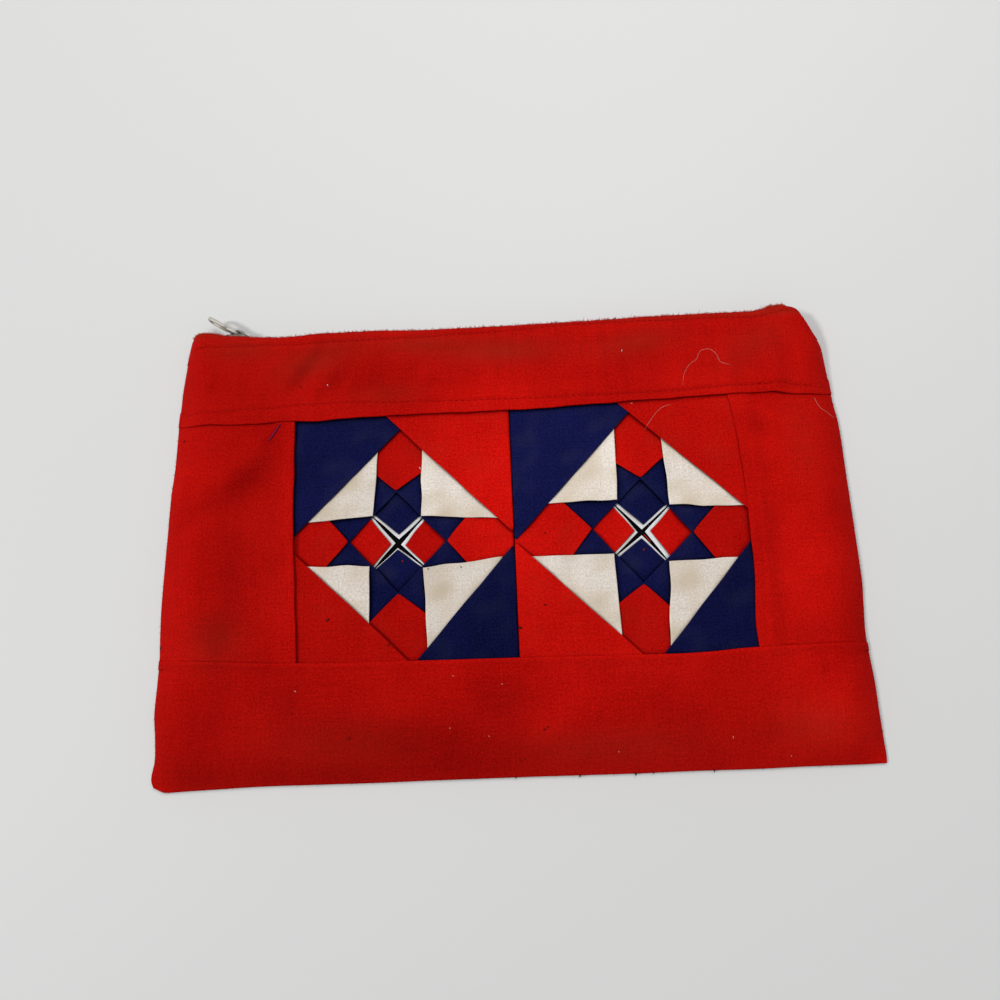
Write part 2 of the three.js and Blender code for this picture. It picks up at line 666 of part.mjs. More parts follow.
// Zipper tape: a leg sewn under a fold and a web that turns to the chain, from the slider to the end
function zipperTape(side) {
  const webFront = ZIP_FACE_Y - TOOTH_THICKNESS - CLEARANCE;
  const webBack = webFront - TAPE_THICKNESS;
  const fold = side > 0 ? HEM_TOP - ZIP_HEM_THICKNESS : ZIP_HEM_THICKNESS;
  const sewn = fold - side * CLEARANCE;
  const inner = sewn - side * TAPE_THICKNESS;
  const edge = ZIP_MIDDLE_Z + side * HALF_CLEARANCE;
  const sorted = (a, b) => [Math.min(a, b), Math.max(a, b)];
  const leg = box(TAPE_LEFT, TAPE_RIGHT, webFront - TAPE_LEG, webFront, ...sorted(inner, sewn));
  const web = box(CHAIN_LEFT, TAPE_RIGHT, webBack, webFront, ...sorted(edge, sewn));
  return joined(leg, web);
}

// Zipper teeth: a spine with teeth that reach to either tape by turns
function zipperTeeth() {
  const tooth = TOOTH_PITCH / 2;
  const side = (sign, shift) => Array.from({ length: TOOTH_COUNT }, (_, i) => {
    const x = CHAIN_LEFT + i * TOOTH_PITCH + shift;
    return [
      new THREE.Vector2(x, sign * TOOTH_SPINE),
      new THREE.Vector2(x + TOOTH_TAPER * tooth, sign * TOOTH_REACH),
      new THREE.Vector2(x + (1 - TOOTH_TAPER) * tooth, sign * TOOTH_REACH),
      new THREE.Vector2(x + tooth, sign * TOOTH_SPINE),
    ];
  }).flat();
  const outline = [...side(-1, 0), ...side(1, tooth).reverse()];
  const chain = new THREE.ExtrudeGeometry(new THREE.Shape(outline), {
    depth: TOOTH_THICKNESS,
    bevelEnabled: false,
  });
  chain.rotateX(-Math.PI / 2);
  return closed(chain.translate(0, ZIP_FACE_Y - TOOTH_THICKNESS, ZIP_MIDDLE_Z));
}

// A plate of the slider seen from outside: wide at the nose, narrower at the tail, with rounded corners
function sliderPlate({ noseHalf, tailHalf, corner }, lift) {
  const half = SLIDER_LENGTH / 2;
  const shape = new THREE.Shape();
  shape.moveTo(-half + corner, -noseHalf);
  shape.lineTo(half - corner, -tailHalf);
  shape.quadraticCurveTo(half, -tailHalf, half, -tailHalf + corner);
  shape.lineTo(half, tailHalf - corner);
  shape.quadraticCurveTo(half, tailHalf, half - corner, tailHalf);
  shape.lineTo(-half + corner, noseHalf);
  shape.quadraticCurveTo(-half, noseHalf, -half, noseHalf - corner);
  shape.lineTo(-half, -noseHalf + corner);
  shape.quadraticCurveTo(-half, -noseHalf, -half + corner, -noseHalf);
  const plate = new THREE.ExtrudeGeometry(shape, {
    depth: PLATE_THICKNESS,
    bevelEnabled: false,
    curveSegments: 3,
  });
  return plate.rotateX(-Math.PI / 2).translate(0, lift, 0);
}

// The crown: an arch over the outer plate that holds the pull tab's bar
function sliderCrown(foot) {
  const shape = new THREE.Shape();
  const shoulder = CROWN_HEIGHT - CROWN_BAR;
  const innerHalf = CROWN_HALF_LENGTH - CROWN_BAR;
  shape.moveTo(-CROWN_HALF_LENGTH, -PLATE_THICKNESS / 2);
  shape.lineTo(-innerHalf, -PLATE_THICKNESS / 2);
  shape.lineTo(-innerHalf, shoulder - CROWN_BAR);
  shape.quadraticCurveTo(-innerHalf, shoulder, -innerHalf + CROWN_BAR, shoulder);
  shape.lineTo(innerHalf - CROWN_BAR, shoulder);
  shape.quadraticCurveTo(innerHalf, shoulder, innerHalf, shoulder - CROWN_BAR);
  shape.lineTo(innerHalf, -PLATE_THICKNESS / 2);
  shape.lineTo(CROWN_HALF_LENGTH, -PLATE_THICKNESS / 2);
  shape.lineTo(CROWN_HALF_LENGTH, shoulder);
  shape.quadraticCurveTo(CROWN_HALF_LENGTH, CROWN_HEIGHT, innerHalf, CROWN_HEIGHT);
  shape.lineTo(-innerHalf, CROWN_HEIGHT);
  shape.quadraticCurveTo(-CROWN_HALF_LENGTH, CROWN_HEIGHT, -CROWN_HALF_LENGTH, shoulder);
  const crown = new THREE.ExtrudeGeometry(shape, {
    depth: CROWN_WIDTH,
    bevelEnabled: false,
    curveSegments: 4,
  });
  return crown.translate(0, foot, -CROWN_WIDTH / 2);
}

const OUTER_PLATE_FOOT = ZIP_FACE_Y + CLEARANCE;
const OUTER_PLATE_TOP = OUTER_PLATE_FOOT + PLATE_THICKNESS;
const INNER_PLATE_TOP = ZIP_FACE_Y - TOOTH_THICKNESS - TAPE_THICKNESS - 2 * CLEARANCE;

// Slider: two plates on a post, with flanges that keep the teeth in and the crown on the outer plate
function slider() {
  const half = SLIDER_LENGTH / 2;
  const overlap = PLATE_THICKNESS / 2;
  const flangeInner = TOOTH_REACH + CLEARANCE;
  const flange = (sign) => box(
    -half + OUTER_PLATE.corner,
    half - OUTER_PLATE.corner,
    OUTER_PLATE_FOOT - FLANGE_DEPTH,
    OUTER_PLATE_FOOT + overlap,
    sign < 0 ? -flangeInner - FLANGE_THICKNESS : flangeInner,
    sign < 0 ? -flangeInner : flangeInner + FLANGE_THICKNESS,
  );
  const post = box(
    -half + CLEARANCE,
    -half + CLEARANCE + POST_LENGTH,
    INNER_PLATE_TOP - overlap,
    OUTER_PLATE_FOOT + overlap,
    -POST_WIDTH / 2,
    POST_WIDTH / 2,
  );
  return joined(
    sliderPlate(OUTER_PLATE, OUTER_PLATE_FOOT),
    sliderPlate(INNER_PLATE, INNER_PLATE_TOP - PLATE_THICKNESS),
    flange(-1),
    flange(1),
    post,
    sliderCrown(OUTER_PLATE_TOP),
  );
}

// Pull tab, flat: a bar that lies under the crown, a slot for the crown to pass, and an eye near the free end
function pullTab() {
  const half = TAB_WIDTH / 2;
  const neck = TAB_NECK_WIDTH / 2;
  const back = -TAB_THICKNESS / 2;
  const shape = new THREE.Shape();
  shape.moveTo(back, -neck);
  shape.lineTo(TAB_SLOT_END, -neck);
  shape.lineTo(TAB_EYE_CENTRE, -half);
  shape.lineTo(TAB_LENGTH - half, -half);
  shape.absarc(TAB_LENGTH - half, 0, half, -Math.PI / 2, Math.PI / 2, false);
  shape.lineTo(TAB_EYE_CENTRE, half);
  shape.lineTo(TAB_SLOT_END, neck);
  shape.lineTo(back, neck);
  const slot = new THREE.Path();
  slot.moveTo(-back, -TAB_SLOT_HALF);
  slot.lineTo(-back, TAB_SLOT_HALF);
  slot.lineTo(TAB_SLOT_END, TAB_SLOT_HALF);
  slot.lineTo(TAB_SLOT_END, -TAB_SLOT_HALF);
  const eye = new THREE.Path();
  const run = (TAB_EYE_LENGTH - TAB_EYE_WIDTH) / 2;
  eye.absarc(TAB_EYE_CENTRE + run, 0, TAB_EYE_WIDTH / 2, Math.PI / 2, -Math.PI / 2, true);
  eye.absarc(TAB_EYE_CENTRE - run, 0, TAB_EYE_WIDTH / 2, -Math.PI / 2, Math.PI / 2, true);
  shape.holes.push(slot, eye);
  const tab = new THREE.ExtrudeGeometry(shape, {
    depth: TAB_THICKNESS - 2 * TAB_ROUNDING,
    bevelThickness: TAB_ROUNDING,
    bevelSize: TAB_ROUNDING,
    bevelOffset: -TAB_ROUNDING,
    bevelSegments: 1,
    curveSegments: 5,
  });
  return closed(tab.translate(0, 0, TAB_ROUNDING - TAB_THICKNESS / 2));
}

// The tab turns on its bar, whose axis stands upright in the middle of the crown's opening
function hungTab() {
  const tab = named('pull_tab', pullTab(), nickel());
  tab.rotation.x = Math.PI / 2;
  const hinge = new THREE.Group();
  hinge.position.set(SLIDER_X, OUTER_PLATE_TOP + (CROWN_HEIGHT - CROWN_BAR) / 2, ZIP_MIDDLE_Z);
  hinge.rotation.z = TAB_REST_ANGLE;
  hinge.add(tab);
  return hinge;
}

function zipper() {
  const group = new THREE.Group();
  group.add(named('zipper_tape_front', zipperTape(1), cotton(RED)));
  group.add(named('zipper_tape_back', zipperTape(-1), cotton(RED)));
  group.add(named('zipper_teeth', zipperTeeth(), nickel()));
  const body = named('slider', slider(), nickel());
  body.position.set(SLIDER_X, 0, ZIP_MIDDLE_Z);
  group.add(body, hungTab());
  return group;
}

const pouch = new THREE.Group();
pouch.add(named('back_panel', backPanel(), cotton(RED)));
pouch.add(named('top_band', topBand(), cotton(RED)));
pouch.add(named('bottom_band', bottomBand(), cotton(RED)));
pouch.add(named('left_panel', sidePanel(-1, LEFT_PANEL_FOLD), cotton(RED)));
pouch.add(named('right_panel', sidePanel(1, RIGHT_PANEL_FOLD), cotton(RED)));
const [leftBlock, rightBlock] = BLOCKS;
pouch.add(starBlock(leftBlock, blockFrame(LEFT_PANEL_FOLD, BLOCK_SEAM), -1));
pouch.add(starBlock(rightBlock, blockFrame(BLOCK_SEAM, RIGHT_PANEL_FOLD), 1));
pouch.add(zipper());

export default pouch;
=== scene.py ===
# %% [markdown]
# # A patchwork zipper pouch
# The object is a flat hand-sewn purse of red cotton. Two folded-star blocks in navy, red and white
# lie in a frame of red bands, and a zipper closes its top edge. It lies on its back on a pale table.
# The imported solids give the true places, and each is dressed here by a cloth or metal surface that
# is worked out with numpy. All tables are in millimetres: +X along the zipper, +Y up to it, +Z up.

# %% The frame
import json

import bpy
import numpy as np
from mathutils import Matrix, Vector
from mathutils.bvhtree import BVHTree

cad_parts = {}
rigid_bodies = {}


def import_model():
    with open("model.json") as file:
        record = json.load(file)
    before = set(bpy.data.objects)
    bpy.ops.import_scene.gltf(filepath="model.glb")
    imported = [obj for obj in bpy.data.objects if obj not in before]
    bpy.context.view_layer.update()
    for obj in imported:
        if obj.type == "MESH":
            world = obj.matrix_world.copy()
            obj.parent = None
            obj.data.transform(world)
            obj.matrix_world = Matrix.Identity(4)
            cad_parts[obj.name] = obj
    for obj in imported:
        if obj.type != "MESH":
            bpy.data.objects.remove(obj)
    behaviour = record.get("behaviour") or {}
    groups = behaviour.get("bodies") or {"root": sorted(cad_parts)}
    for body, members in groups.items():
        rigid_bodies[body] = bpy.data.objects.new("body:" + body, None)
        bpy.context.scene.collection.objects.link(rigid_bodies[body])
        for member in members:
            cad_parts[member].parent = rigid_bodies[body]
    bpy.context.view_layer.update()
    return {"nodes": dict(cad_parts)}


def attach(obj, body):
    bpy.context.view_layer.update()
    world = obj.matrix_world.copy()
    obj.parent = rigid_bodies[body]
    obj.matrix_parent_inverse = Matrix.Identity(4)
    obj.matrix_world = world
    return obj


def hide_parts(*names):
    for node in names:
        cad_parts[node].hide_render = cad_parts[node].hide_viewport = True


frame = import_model()
MM = 0.001
print("solids to dress:", len(frame["nodes"]))

# %% [markdown]
# ## Camera
# A phone was held a short way above the pouch, tipped a little towards its lower edge. Such a close
# wide view makes the near edge larger than the far one, so the lens matters as much as the angle.
# The eye's place and the three turns were worked out from the pouch's corners.

# %% Camera
EYE = Vector((-0.97, -56.56, 271.6)) * MM
PITCH, ROLL, YAW = np.radians((14.66, 1.04, -2.39))
LENS, SENSOR = 27.0, 36.0

camera_data = bpy.data.cameras.new("camera")
camera_data.lens = LENS
camera_data.sensor_width = SENSOR
camera_data.clip_start = 0.01
camera = bpy.data.objects.new("camera", camera_data)
tipped = Matrix.Rotation(YAW, 4, "Z") @ Matrix.Rotation(PITCH, 4, "X") @ Matrix.Rotation(ROLL, 4, "Y")
camera.matrix_world = Matrix.Translation(EYE) @ tipped
bpy.context.collection.objects.link(camera)
bpy.context.scene.camera = camera
bpy.context.scene.view_settings.view_transform = "Standard"
print("camera at", [round(c, 4) for c in EYE])

# %% [markdown]
# ## From numbers to meshes
# Almost every piece here is a grid of points. A cloth is two such grids, an upper and a lower face,
# joined round the rim, so that it is a closed thin body. Threads, teeth and metal bars are rows of
# rings. Both kinds are whole arrays, so a thousand fibres cost one call.

# %% Mesh helpers
RNG = np.random.default_rng(41)


def thin_shell(upper, lower):
    """Points and quads of a closed thin body: the upper grid, the lower grid turned over, and a
    strip round the rim that joins them."""
    rows, columns = upper.shape[:2]
    index = np.arange(rows * columns).reshape(rows, columns)
    quads = np.stack((index[:-1, :-1], index[1:, :-1], index[1:, 1:], index[:-1, 1:]), -1).reshape(-1, 4)
    rim = np.concatenate((index[0], index[1:, -1], index[-1, -2::-1], index[-2:0:-1, 0]))
    after = np.roll(rim, -1)
    count = rows * columns
    side = np.stack((rim, after, after + count, rim + count), -1)
    points = np.concatenate((upper.reshape(-1, 3), lower.reshape(-1, 3)))
    return points, np.concatenate((quads, quads[:, ::-1] + count, side))


def unit(vectors):
    """The same directions with length 1."""
    vectors = np.asarray(vectors, float)
    return vectors / np.maximum(np.linalg.norm(vectors, axis=-1, keepdims=True), 1e-9)


def normals_of(grid):
    """Unit normals of a grid: the cross product of its two running directions."""
    return unit(np.cross(np.gradient(grid, axis=0), np.gradient(grid, axis=1)))


def cloth_shell(outer, thickness):
    """A sheet whose outer face is the grid, and whose inner face lies a thickness behind it along
    the normals."""
    return thin_shell(outer, outer - thickness * normals_of(outer))


def ringed(rings):
    """Points and quads of bodies made of rings, an array (bodies, rings, points round, 3): quads join
    each ring to the next, and rungs across the first and last ring close the ends."""
    bodies, count, around = rings.shape[:3]
    index = np.arange(bodies * count * around).reshape(bodies, count, around)
    turned = np.roll(index, -1, axis=2)
    wall = np.stack((index[:, :-1], turned[:, :-1], turned[:, 1:], index[:, 1:]), -1).reshape(-1, 4)
    k = np.arange(around // 2 - 1)
    rungs = np.stack((k, around - 1 - k, around - 2 - k, k + 1), -1)
    start = index[:, 0][:, rungs].reshape(-1, 4)
    end = index[:, -1][:, rungs[:, ::-1]].reshape(-1, 4)
    return rings.reshape(-1, 3), np.concatenate((wall, start, end))


def looped(grid):
    """Points and quads of a grid that closes on itself both ways, as a ring does."""
    rows, columns = grid.shape[:2]
    index = np.arange(rows * columns).reshape(rows, columns)
    down, right = np.roll(index, -1, axis=0), np.roll(index, -1, axis=1)
    both = np.roll(down, -1, axis=1)
    return grid.reshape(-1, 3), np.stack((index, down, both, right), -1).reshape(-1, 4)


def joined(*bodies):
    """Several (points, quads) pairs as one."""
    starts = np.cumsum([0] + [len(points) for points, _ in bodies[:-1]])
    points = np.concatenate([points for points, _ in bodies])
    return points, np.concatenate([quads + start for (_, quads), start in zip(bodies, starts)])


def quad_corners(points, quads):
    """The four corners of every quad, as four arrays of points."""
    return [points[quads[:, i]] for i in range(4)]


def faced_out(points, quads):
    """The quads, turned over if the body's signed volume is negative."""
    a, b, c, d = quad_corners(points, quads)
    volume = np.einsum("ij,ij->", np.cross(b - a, c - a) + np.cross(c - a, d - a), a)
    return quads if volume > 0 else quads[:, ::-1]


CLOTH_BODIES = []


def piece(name, body, material, node=None, rides="pouch", traits=None):
    """Makes one object from points in millimetres and quads, puts it on its rigid body, hides the solid
    that it dresses, and keeps the soil and tone of each of its points as attributes that its material reads."""
    points, quads = body[0], faced_out(*body)
    if name.endswith("_cloth"):
        CLOTH_BODIES.append((points, quads))
    mesh = bpy.data.meshes.new(name)
    mesh.from_pydata((points * MM).tolist(), [], quads.tolist())
    mesh.polygons.foreach_set("use_smooth", np.ones(len(quads), bool))
    for trait, values in (traits or {}).items():
        mesh.attributes.new(trait, "FLOAT", "POINT").data.foreach_set("value", values.astype(np.float32))
    mesh.materials.append(material)
    mesh.update()
    made = bpy.data.objects.new(name, mesh)
    bpy.context.collection.objects.link(made)
    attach(made, rides)
    if node:
        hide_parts(node)
    return made


# A direction that no thread runs along
ASLANT = (0.31, 0.17, 0.93)


def ring_angles(around):
    """Equal steps round a circle, from half a step on."""
    return (np.arange(around) + 0.5) * 2 * np.pi / around


def tubes(paths, radii, around=4):
    """Rings round many paths at once. paths is (bodies, points, 3) and radii broadcasts over the
    points. Each ring lies across its path, set out by two directions at right angles to the tangent."""
    tangent = unit(np.gradient(paths, axis=1))
    first = unit(np.cross(tangent, ASLANT))
    second = np.cross(tangent, first)
    angle = ring_angles(around)
    ring = first[:, :, None] * np.cos(angle)[:, None] + second[:, :, None] * np.sin(angle)[:, None]
    return paths[:, :, None] + np.broadcast_to(radii, paths.shape[:2])[..., None, None] * ring


print("helpers for shells, rings and loops are ready")

# %% [markdown]
# ## Uneven hand work
# Nothing on a hand-sewn pouch is quite straight. Its edges wander by a few millimetres, the cloth
# swells where it is loose, and small ripples run everywhere. The wandering is kept in short tables
# read by smooth curves, and the ripples are sums of waves in mixed directions.

# %% Smooth tables, ripples and swells
def smooth_step(t):
    """0 below 0, 1 above 1, and 3t^2 - 2t^3 between."""
    t = np.clip(t, 0, 1)
    return t * t * (3 - 2 * t)


def parabola(t):
    """0 below 0, 1 above 1, and 1 - (1 - t)^2 between: steep at first, then level."""
    return 1 - (1 - np.clip(t, 0, 1)) ** 2


def quarter_round(t):
    """A quarter circle over the same span: the square root of the parabola."""
    return np.sqrt(np.maximum(parabola(t), 0))


def along(rows, at, column=1):
    """Smooth reading of a table: between two rows a cubic that meets both values. Its slope at a row
    is the harmonic mean of the slopes on both sides, or level where they turn, so that the curve
    never overshoots. Outside the table the end rows hold."""
    rows = np.asarray(rows, float)
    key, value = rows[:, 0], rows[:, column]
    rise = np.diff(value) / np.diff(key)
    before, after = rise[:-1], rise[1:]
    agree = before * after > 0
    inner = np.where(agree, 2 * before * after / np.where(agree, before + after, 1), 0)
    slope = np.concatenate((rise[:1], inner, rise[-1:]))
    i = np.clip(np.searchsorted(key, at) - 1, 0, len(key) - 2)
    span = key[i + 1] - key[i]
    t = np.clip((at - key[i]) / span, 0, 1)
    left = (2 * t**3 - 3 * t**2 + 1) * value[i] + (t**3 - 2 * t**2 + t) * span * slope[i]
    return left + (3 * t**2 - 2 * t**3) * value[i + 1] + (t**3 - t**2) * span * slope[i + 1]


def ripples(x, y, wavelength, seed, waves=9):
    """About -1 to 1: the sum of cosine waves of mixed directions, lengths and phases."""
    rng = np.random.default_rng(seed)
    turn, phase = rng.uniform(0, 2 * np.pi, (2, waves))
    length = wavelength * rng.uniform(0.6, 1.7, waves)
    along_wave = np.asarray(x)[..., None] * np.cos(turn) + np.asarray(y)[..., None] * np.sin(turn)
    return np.cos(2 * np.pi * along_wave / length + phase).sum(-1) / np.sqrt(waves)


def swells(rows, x, y):
    """Sum of soft hills. A row is (x, y, long reach, short reach, turn in degrees, rise), and a hill
    falls off as exp(-(u/long)^2 - (v/short)^2)."""
    cx, cy, long, short, turn, rise = np.asarray(rows, float).T
    c, s = np.cos(np.radians(turn)), np.sin(np.radians(turn))
    dx, dy = np.asarray(x)[..., None] - cx, np.asarray(y)[..., None] - cy
    return (rise * np.exp(-(((dx * c + dy * s) / long) ** 2) - ((dy * c - dx * s) / short) ** 2)).sum(-1)


def bells(rows, distance):
    """Sum of bell curves across a line. A row is (place, width, rise), and a bell falls off as
    exp(-((distance - place) / width)^2)."""
    place, width, rise = np.asarray(rows, float).T
    return (rise * np.exp(-(((distance[..., None] - place) / width) ** 2))).sum(-1)


print("ripple test, largest of a thousand:", round(float(ripples(np.arange(1000), 0, 9, 1).max()), 2))

# %% [markdown]
# ## The outline and the fold lines
# The front and the back meet in a seam along both sides and the bottom. The tables say how far each
# edge lies outside a plain rectangle, and where the bands and panels are folded over the blocks.

# %% Outline tables
HALF_WIDTH, HALF_HEIGHT = 123.25, 82.0
SIDE_REACH, END_REACH = 40.0, 26.0
# y, left, right
SIDE_EDGES = (
    (-84, 0.9, 1.1), (-79, 3.0, 1.6), (-73, 2.2, 1.5), (-65, 2.8, 1.5), (-58, 3.6, 1.6), (-41, 3.2, 1.0),
    (-30, 3.7, 1.9), (-20, 4.0, 2.8), (5, 3.7, 3.1), (20, 3.5, 3.2), (33, 2.7, 3.4), (39, 2.6, 3.3),
    (48, 2.5, 2.4), (55, 2.2, 2.1), (62, 1.9, 1.7), (69.5, 1.1, 1.1), (77.5, 0.0, -2.3), (84, -1.1, -6.0),
)
# x, bottom, top
END_EDGES = (
    (-123.2, 0.4, 1.3), (-119, 2.1, 1.5), (-113, 1.9, 1.2), (-106, 1.7, 0.0), (-84, 1.2, -1.6),
    (-67, 1.3, -0.6), (-48, 1.4, -0.5), (-30, 1.3, -1.0), (0, 1.3, -0.7), (40, 1.5, 0.2), (60, 1.4, 0.8),
    (80, 1.5, 1.0), (97, 1.3, 1.1), (103, 1.3, 1.9), (106, 1.3, 2.9), (111, 1.3, 3.2), (115, 1.3, 2.6),
    (121, 1.2, 1.0),
)
# x, y of the folds that run across, and y, x of those that run up
TOP_FOLD = (
    (-123.2, 48.4), (-117, 46.1), (-111.6, 45.6), (-93, 45.4), (-75, 45.2), (-60, 45.5), (-46, 46.1),
    (6, 46.4), (25, 47.0), (40, 47.6), (65, 48.5), (87.7, 49.5), (99, 49.9), (104, 49.1), (110, 48.6),
    (117.2, 49.0), (123.2, 50.8),
)
BOTTOM_SEAM = (
    (-123, -39.9), (-99.6, -41.4), (-82, -42.5), (-63, -43.1), (-25, -43.6), (2, -43.8), (35, -44.2),
    (58, -44.5), (68, -44.2), (78, -43.5), (101, -42.9), (123.2, -42.8),
)
LEFT_FOLD = ((-42.6, -74.9), (-25, -75.9), (-8, -76.8), (10, -77.7), (25, -77.8), (46, -78.2))
RIGHT_FOLD = (
    (-43.2, 83.3), (-36, 83.4), (-26.5, 84.2), (-16, 85.0), (4, 85.4), (24, 85.2), (37, 84.3), (49.5, 82.8),
)
BLOCK_SEAM_X = 1.55
# Rows of machine stitches: x, y or y, x
TOP_STITCH = (
    (-119.5, 75.8), (-110, 76.8), (-101, 77.7), (-88, 78.5), (-66.8, 78.1), (-46.6, 78.3), (-19.7, 79.2),
    (3.3, 79.8), (27, 80.6), (54.8, 80.3), (82, 80.0), (105, 79.4), (114, 80.3),
)
TOP_FOLD_STITCH = (
    (-123.2, 52.2), (-120.3, 51.2), (-104, 50.6), (-98, 51.2), (-84, 51.5), (-66, 52.0), (-33, 51.4),
    (6, 50.8), (39, 51.0), (66, 51.5), (86, 52.6), (102.8, 53.3), (109, 52.1), (116, 51.8), (123, 53.6),
)
# Soft creases where the panels' hems end under them: y, x
LEFT_CREASE = ((-42, -78.9), (0.6, -81.0), (42.2, -82.4))
RIGHT_CREASE = ((-42.4, 86.8), (8.4, 88.8), (47, 87.0))


def wander(x, y):
    """Moves a point of the plain rectangle to the uneven outline: each edge's shift, fading to
    nothing over its reach into the cloth."""
    left = np.clip(1 - (x + HALF_WIDTH) / SIDE_REACH, 0, 1) * along(SIDE_EDGES, y, 1)
    right = np.clip(1 - (HALF_WIDTH - x) / SIDE_REACH, 0, 1) * along(SIDE_EDGES, y, 2)
    bottom = np.clip(1 - (y + HALF_HEIGHT) / END_REACH, 0, 1) * along(END_EDGES, x, 1)
    top = np.clip(1 - (HALF_HEIGHT - y) / END_REACH, 0, 1) * along(END_EDGES, x, 2)
    return x - left + right, y - bottom + top


# Heights of the front
SEAM_Z, CORNER_SEAM_Z = 0.9, 1.5
FOUNDATION_TOP = 6.8
CORNER_TOP = 9.5
BAND_TOP = 9.2
PANEL_TOP = 8.85
ZIP_HEM_TOP = 9.9
EDGE_RADIUS, TOP_CORNER_RADIUS = 14.0, 8.0
# y from which the zipper's ends shorten the rounded edges and lift the seam, and over how far
SHORTER_FROM, SHORTER_OVER = 50, 30
LIFTED_FROM, LIFTED_OVER = 58, 22
CLOTH = 0.26
FOLD = 0.34


def edge_radius(y):
    """Reach of the rounded side edge, shorter near the zipper, whose ends hold the corners up."""
    return EDGE_RADIUS + (TOP_CORNER_RADIUS - EDGE_RADIUS) * smooth_step((y - SHORTER_FROM) / SHORTER_OVER)


def seam_height(y):
    """Height of the sewn edge over the table: low, and lifted by the zipper's ends at the top corners."""
    return SEAM_Z + (CORNER_SEAM_Z - SEAM_Z) * smooth_step((y - LIFTED_FROM) / LIFTED_OVER)


def on_front(x, y, level):
    """Points of the front at a level over the table, drawn down to the seam by a parabola at the sides
    and one at the bottom, and moved to the uneven outline."""
    seam = seam_height(y)
    side = parabola((HALF_WIDTH - np.abs(x)) / edge_radius(y))
    bottom = parabola((y + HALF_HEIGHT) / EDGE_RADIUS)
    return np.stack((*wander(x, y), seam + (level - seam) * side * bottom), -1)


def rounded_rows(edge, radius, steps):
    """Places that step in from an edge by equal angles of a quarter round."""
    return edge + radius * (1 - np.cos(np.linspace(0, np.pi / 2, steps)[:-1]))


def columns_across(radius, count, steps):
    """x of the grid columns from seam to seam: steps of equal angle over both rounded edges, and even
    ones between."""
    edge = rounded_rows(-HALF_WIDTH, radius, steps)
    middle = np.linspace(-1, 1, count) * (HALF_WIDTH - radius)
    return np.concatenate((edge, middle, -edge[::-1]))


print("outline", 2 * HALF_WIDTH, "by", 2 * HALF_HEIGHT, "mm before it wanders")

# %% [markdown]
# ## Cotton
# The cloth is plain-weave cotton: warp threads run one way, weft threads the other, each passing over
# and under by turns. Up close that is a fine check of ridges, and further off it is a grain of
# thicker and thinner threads. Two waves and a checker make the ridges, stretched noises make the uneven
# threads, and the soil attribute browns the cloth where hands have held it. The fade attribute makes
# places paler or deeper, partly as painted light and shade, and in tight folds an ambient-occlusion
# node paints shade into the colour. The pattern reads Object coordinates with the height left out, so
# that it lies flat on every patch.

# %% Cotton materials
THREAD_PITCH = 0.40 * MM
RIDGE_SCALE = 0.1 * np.pi / THREAD_PITCH
# How far the threads stray from straight lines, and the scale of the noise that shakes them
STRAY, STRAY_SCALE = 0.9 * THREAD_PITCH, 700.0
# Noise scales along x and y, and the share of each in the tone
SLUBS_ALONG, SLUBS_ACROSS, SLUB_SHARE = (70, 1500), (1500, 70), 0.16
NAP, NAP_SHARE = (1350, 1350), 0.8
CLOUD, CLOUD_SHARE = (28, 28), 0.35
# The tones that run from deep to pale, and the ambient-occlusion openness over which the painted
# shade of shut folds gives way to open cloth
TONES, OPENNESS = (0.56, 0.92), (0.55, 0.96)
GAP_TONE, RIDGE_TONE = (0.84, 0.84, 0.84), (1.08, 1.08, 1.08)
WEAVE_HEIGHT, NAP_RELIEF = 0.14 * MM, 1.2


def feed(tree, socket, value):
    """Gives an input its value: a link where the value is a socket, or else a constant."""
    if isinstance(value, bpy.types.NodeSocket):
        tree.links.new(value, socket)
    else:
        socket.default_value = value


def add(tree, kind, **values):
    """A shader node with its inputs or settings given by name."""
    node = tree.nodes.new("ShaderNode" + kind)
    for name, value in values.items():
        if name in node.inputs:
            feed(tree, node.inputs[name], value)
        else:
            setattr(node, name, value)
    return node


def mixed(tree, factor, first, second, way="MIX"):
    """A colour mix of two sockets or colours, and its result socket."""
    node = add(tree, "Mix", data_type="RGBA", blend_type=way)
    for place, value in ((0, factor), (6, first), (7, second)):
        feed(tree, node.inputs[place], (*value, 1.0) if isinstance(value, tuple) else value)
    return node.outputs[2]


def maths(tree, way, first, second):
    """A Math node on two sockets or numbers, and its result socket."""
    node = add(tree, "Math", operation=way)
    feed(tree, node.inputs[0], first)
    feed(tree, node.inputs[1], second)
    return node.outputs[0]


def ranged(tree, value, source=(0.0, 1.0), result=(0.0, 1.0), way="LINEAR"):
    """A Map Range node from a source range to a result range, and its result socket."""
    node = add(tree, "MapRange", interpolation_type=way, Value=value)
    for name, number in zip(("From Min", "From Max", "To Min", "To Max"), (*source, *result)):
        node.inputs[name].default_value = number
    return node.outputs[0]


def grain(tree, coordinates, scale, detail=3.0, rough=0.6):
    """Noise whose scale may differ along x and y, for threads that run one way."""
    stretch = add(tree, "Mapping", Vector=coordinates, Scale=(*scale, 0.0))
    noise = add(tree, "TexNoise", Vector=stretch.outputs[0], Scale=1.0, Detail=detail, Roughness=rough)
    return noise.outputs["Fac"]


def new_finish(name, constants):
    """A new material, whose shader has the given inputs set, with its node tree and its shader."""
    material = bpy.data.materials.new(name)
    material.use_nodes = True
    shader = material.node_tree.nodes["Principled BSDF"]
    for socket, value in constants.items():
        shader.inputs[socket].default_value = value
    return material, material.node_tree, shader


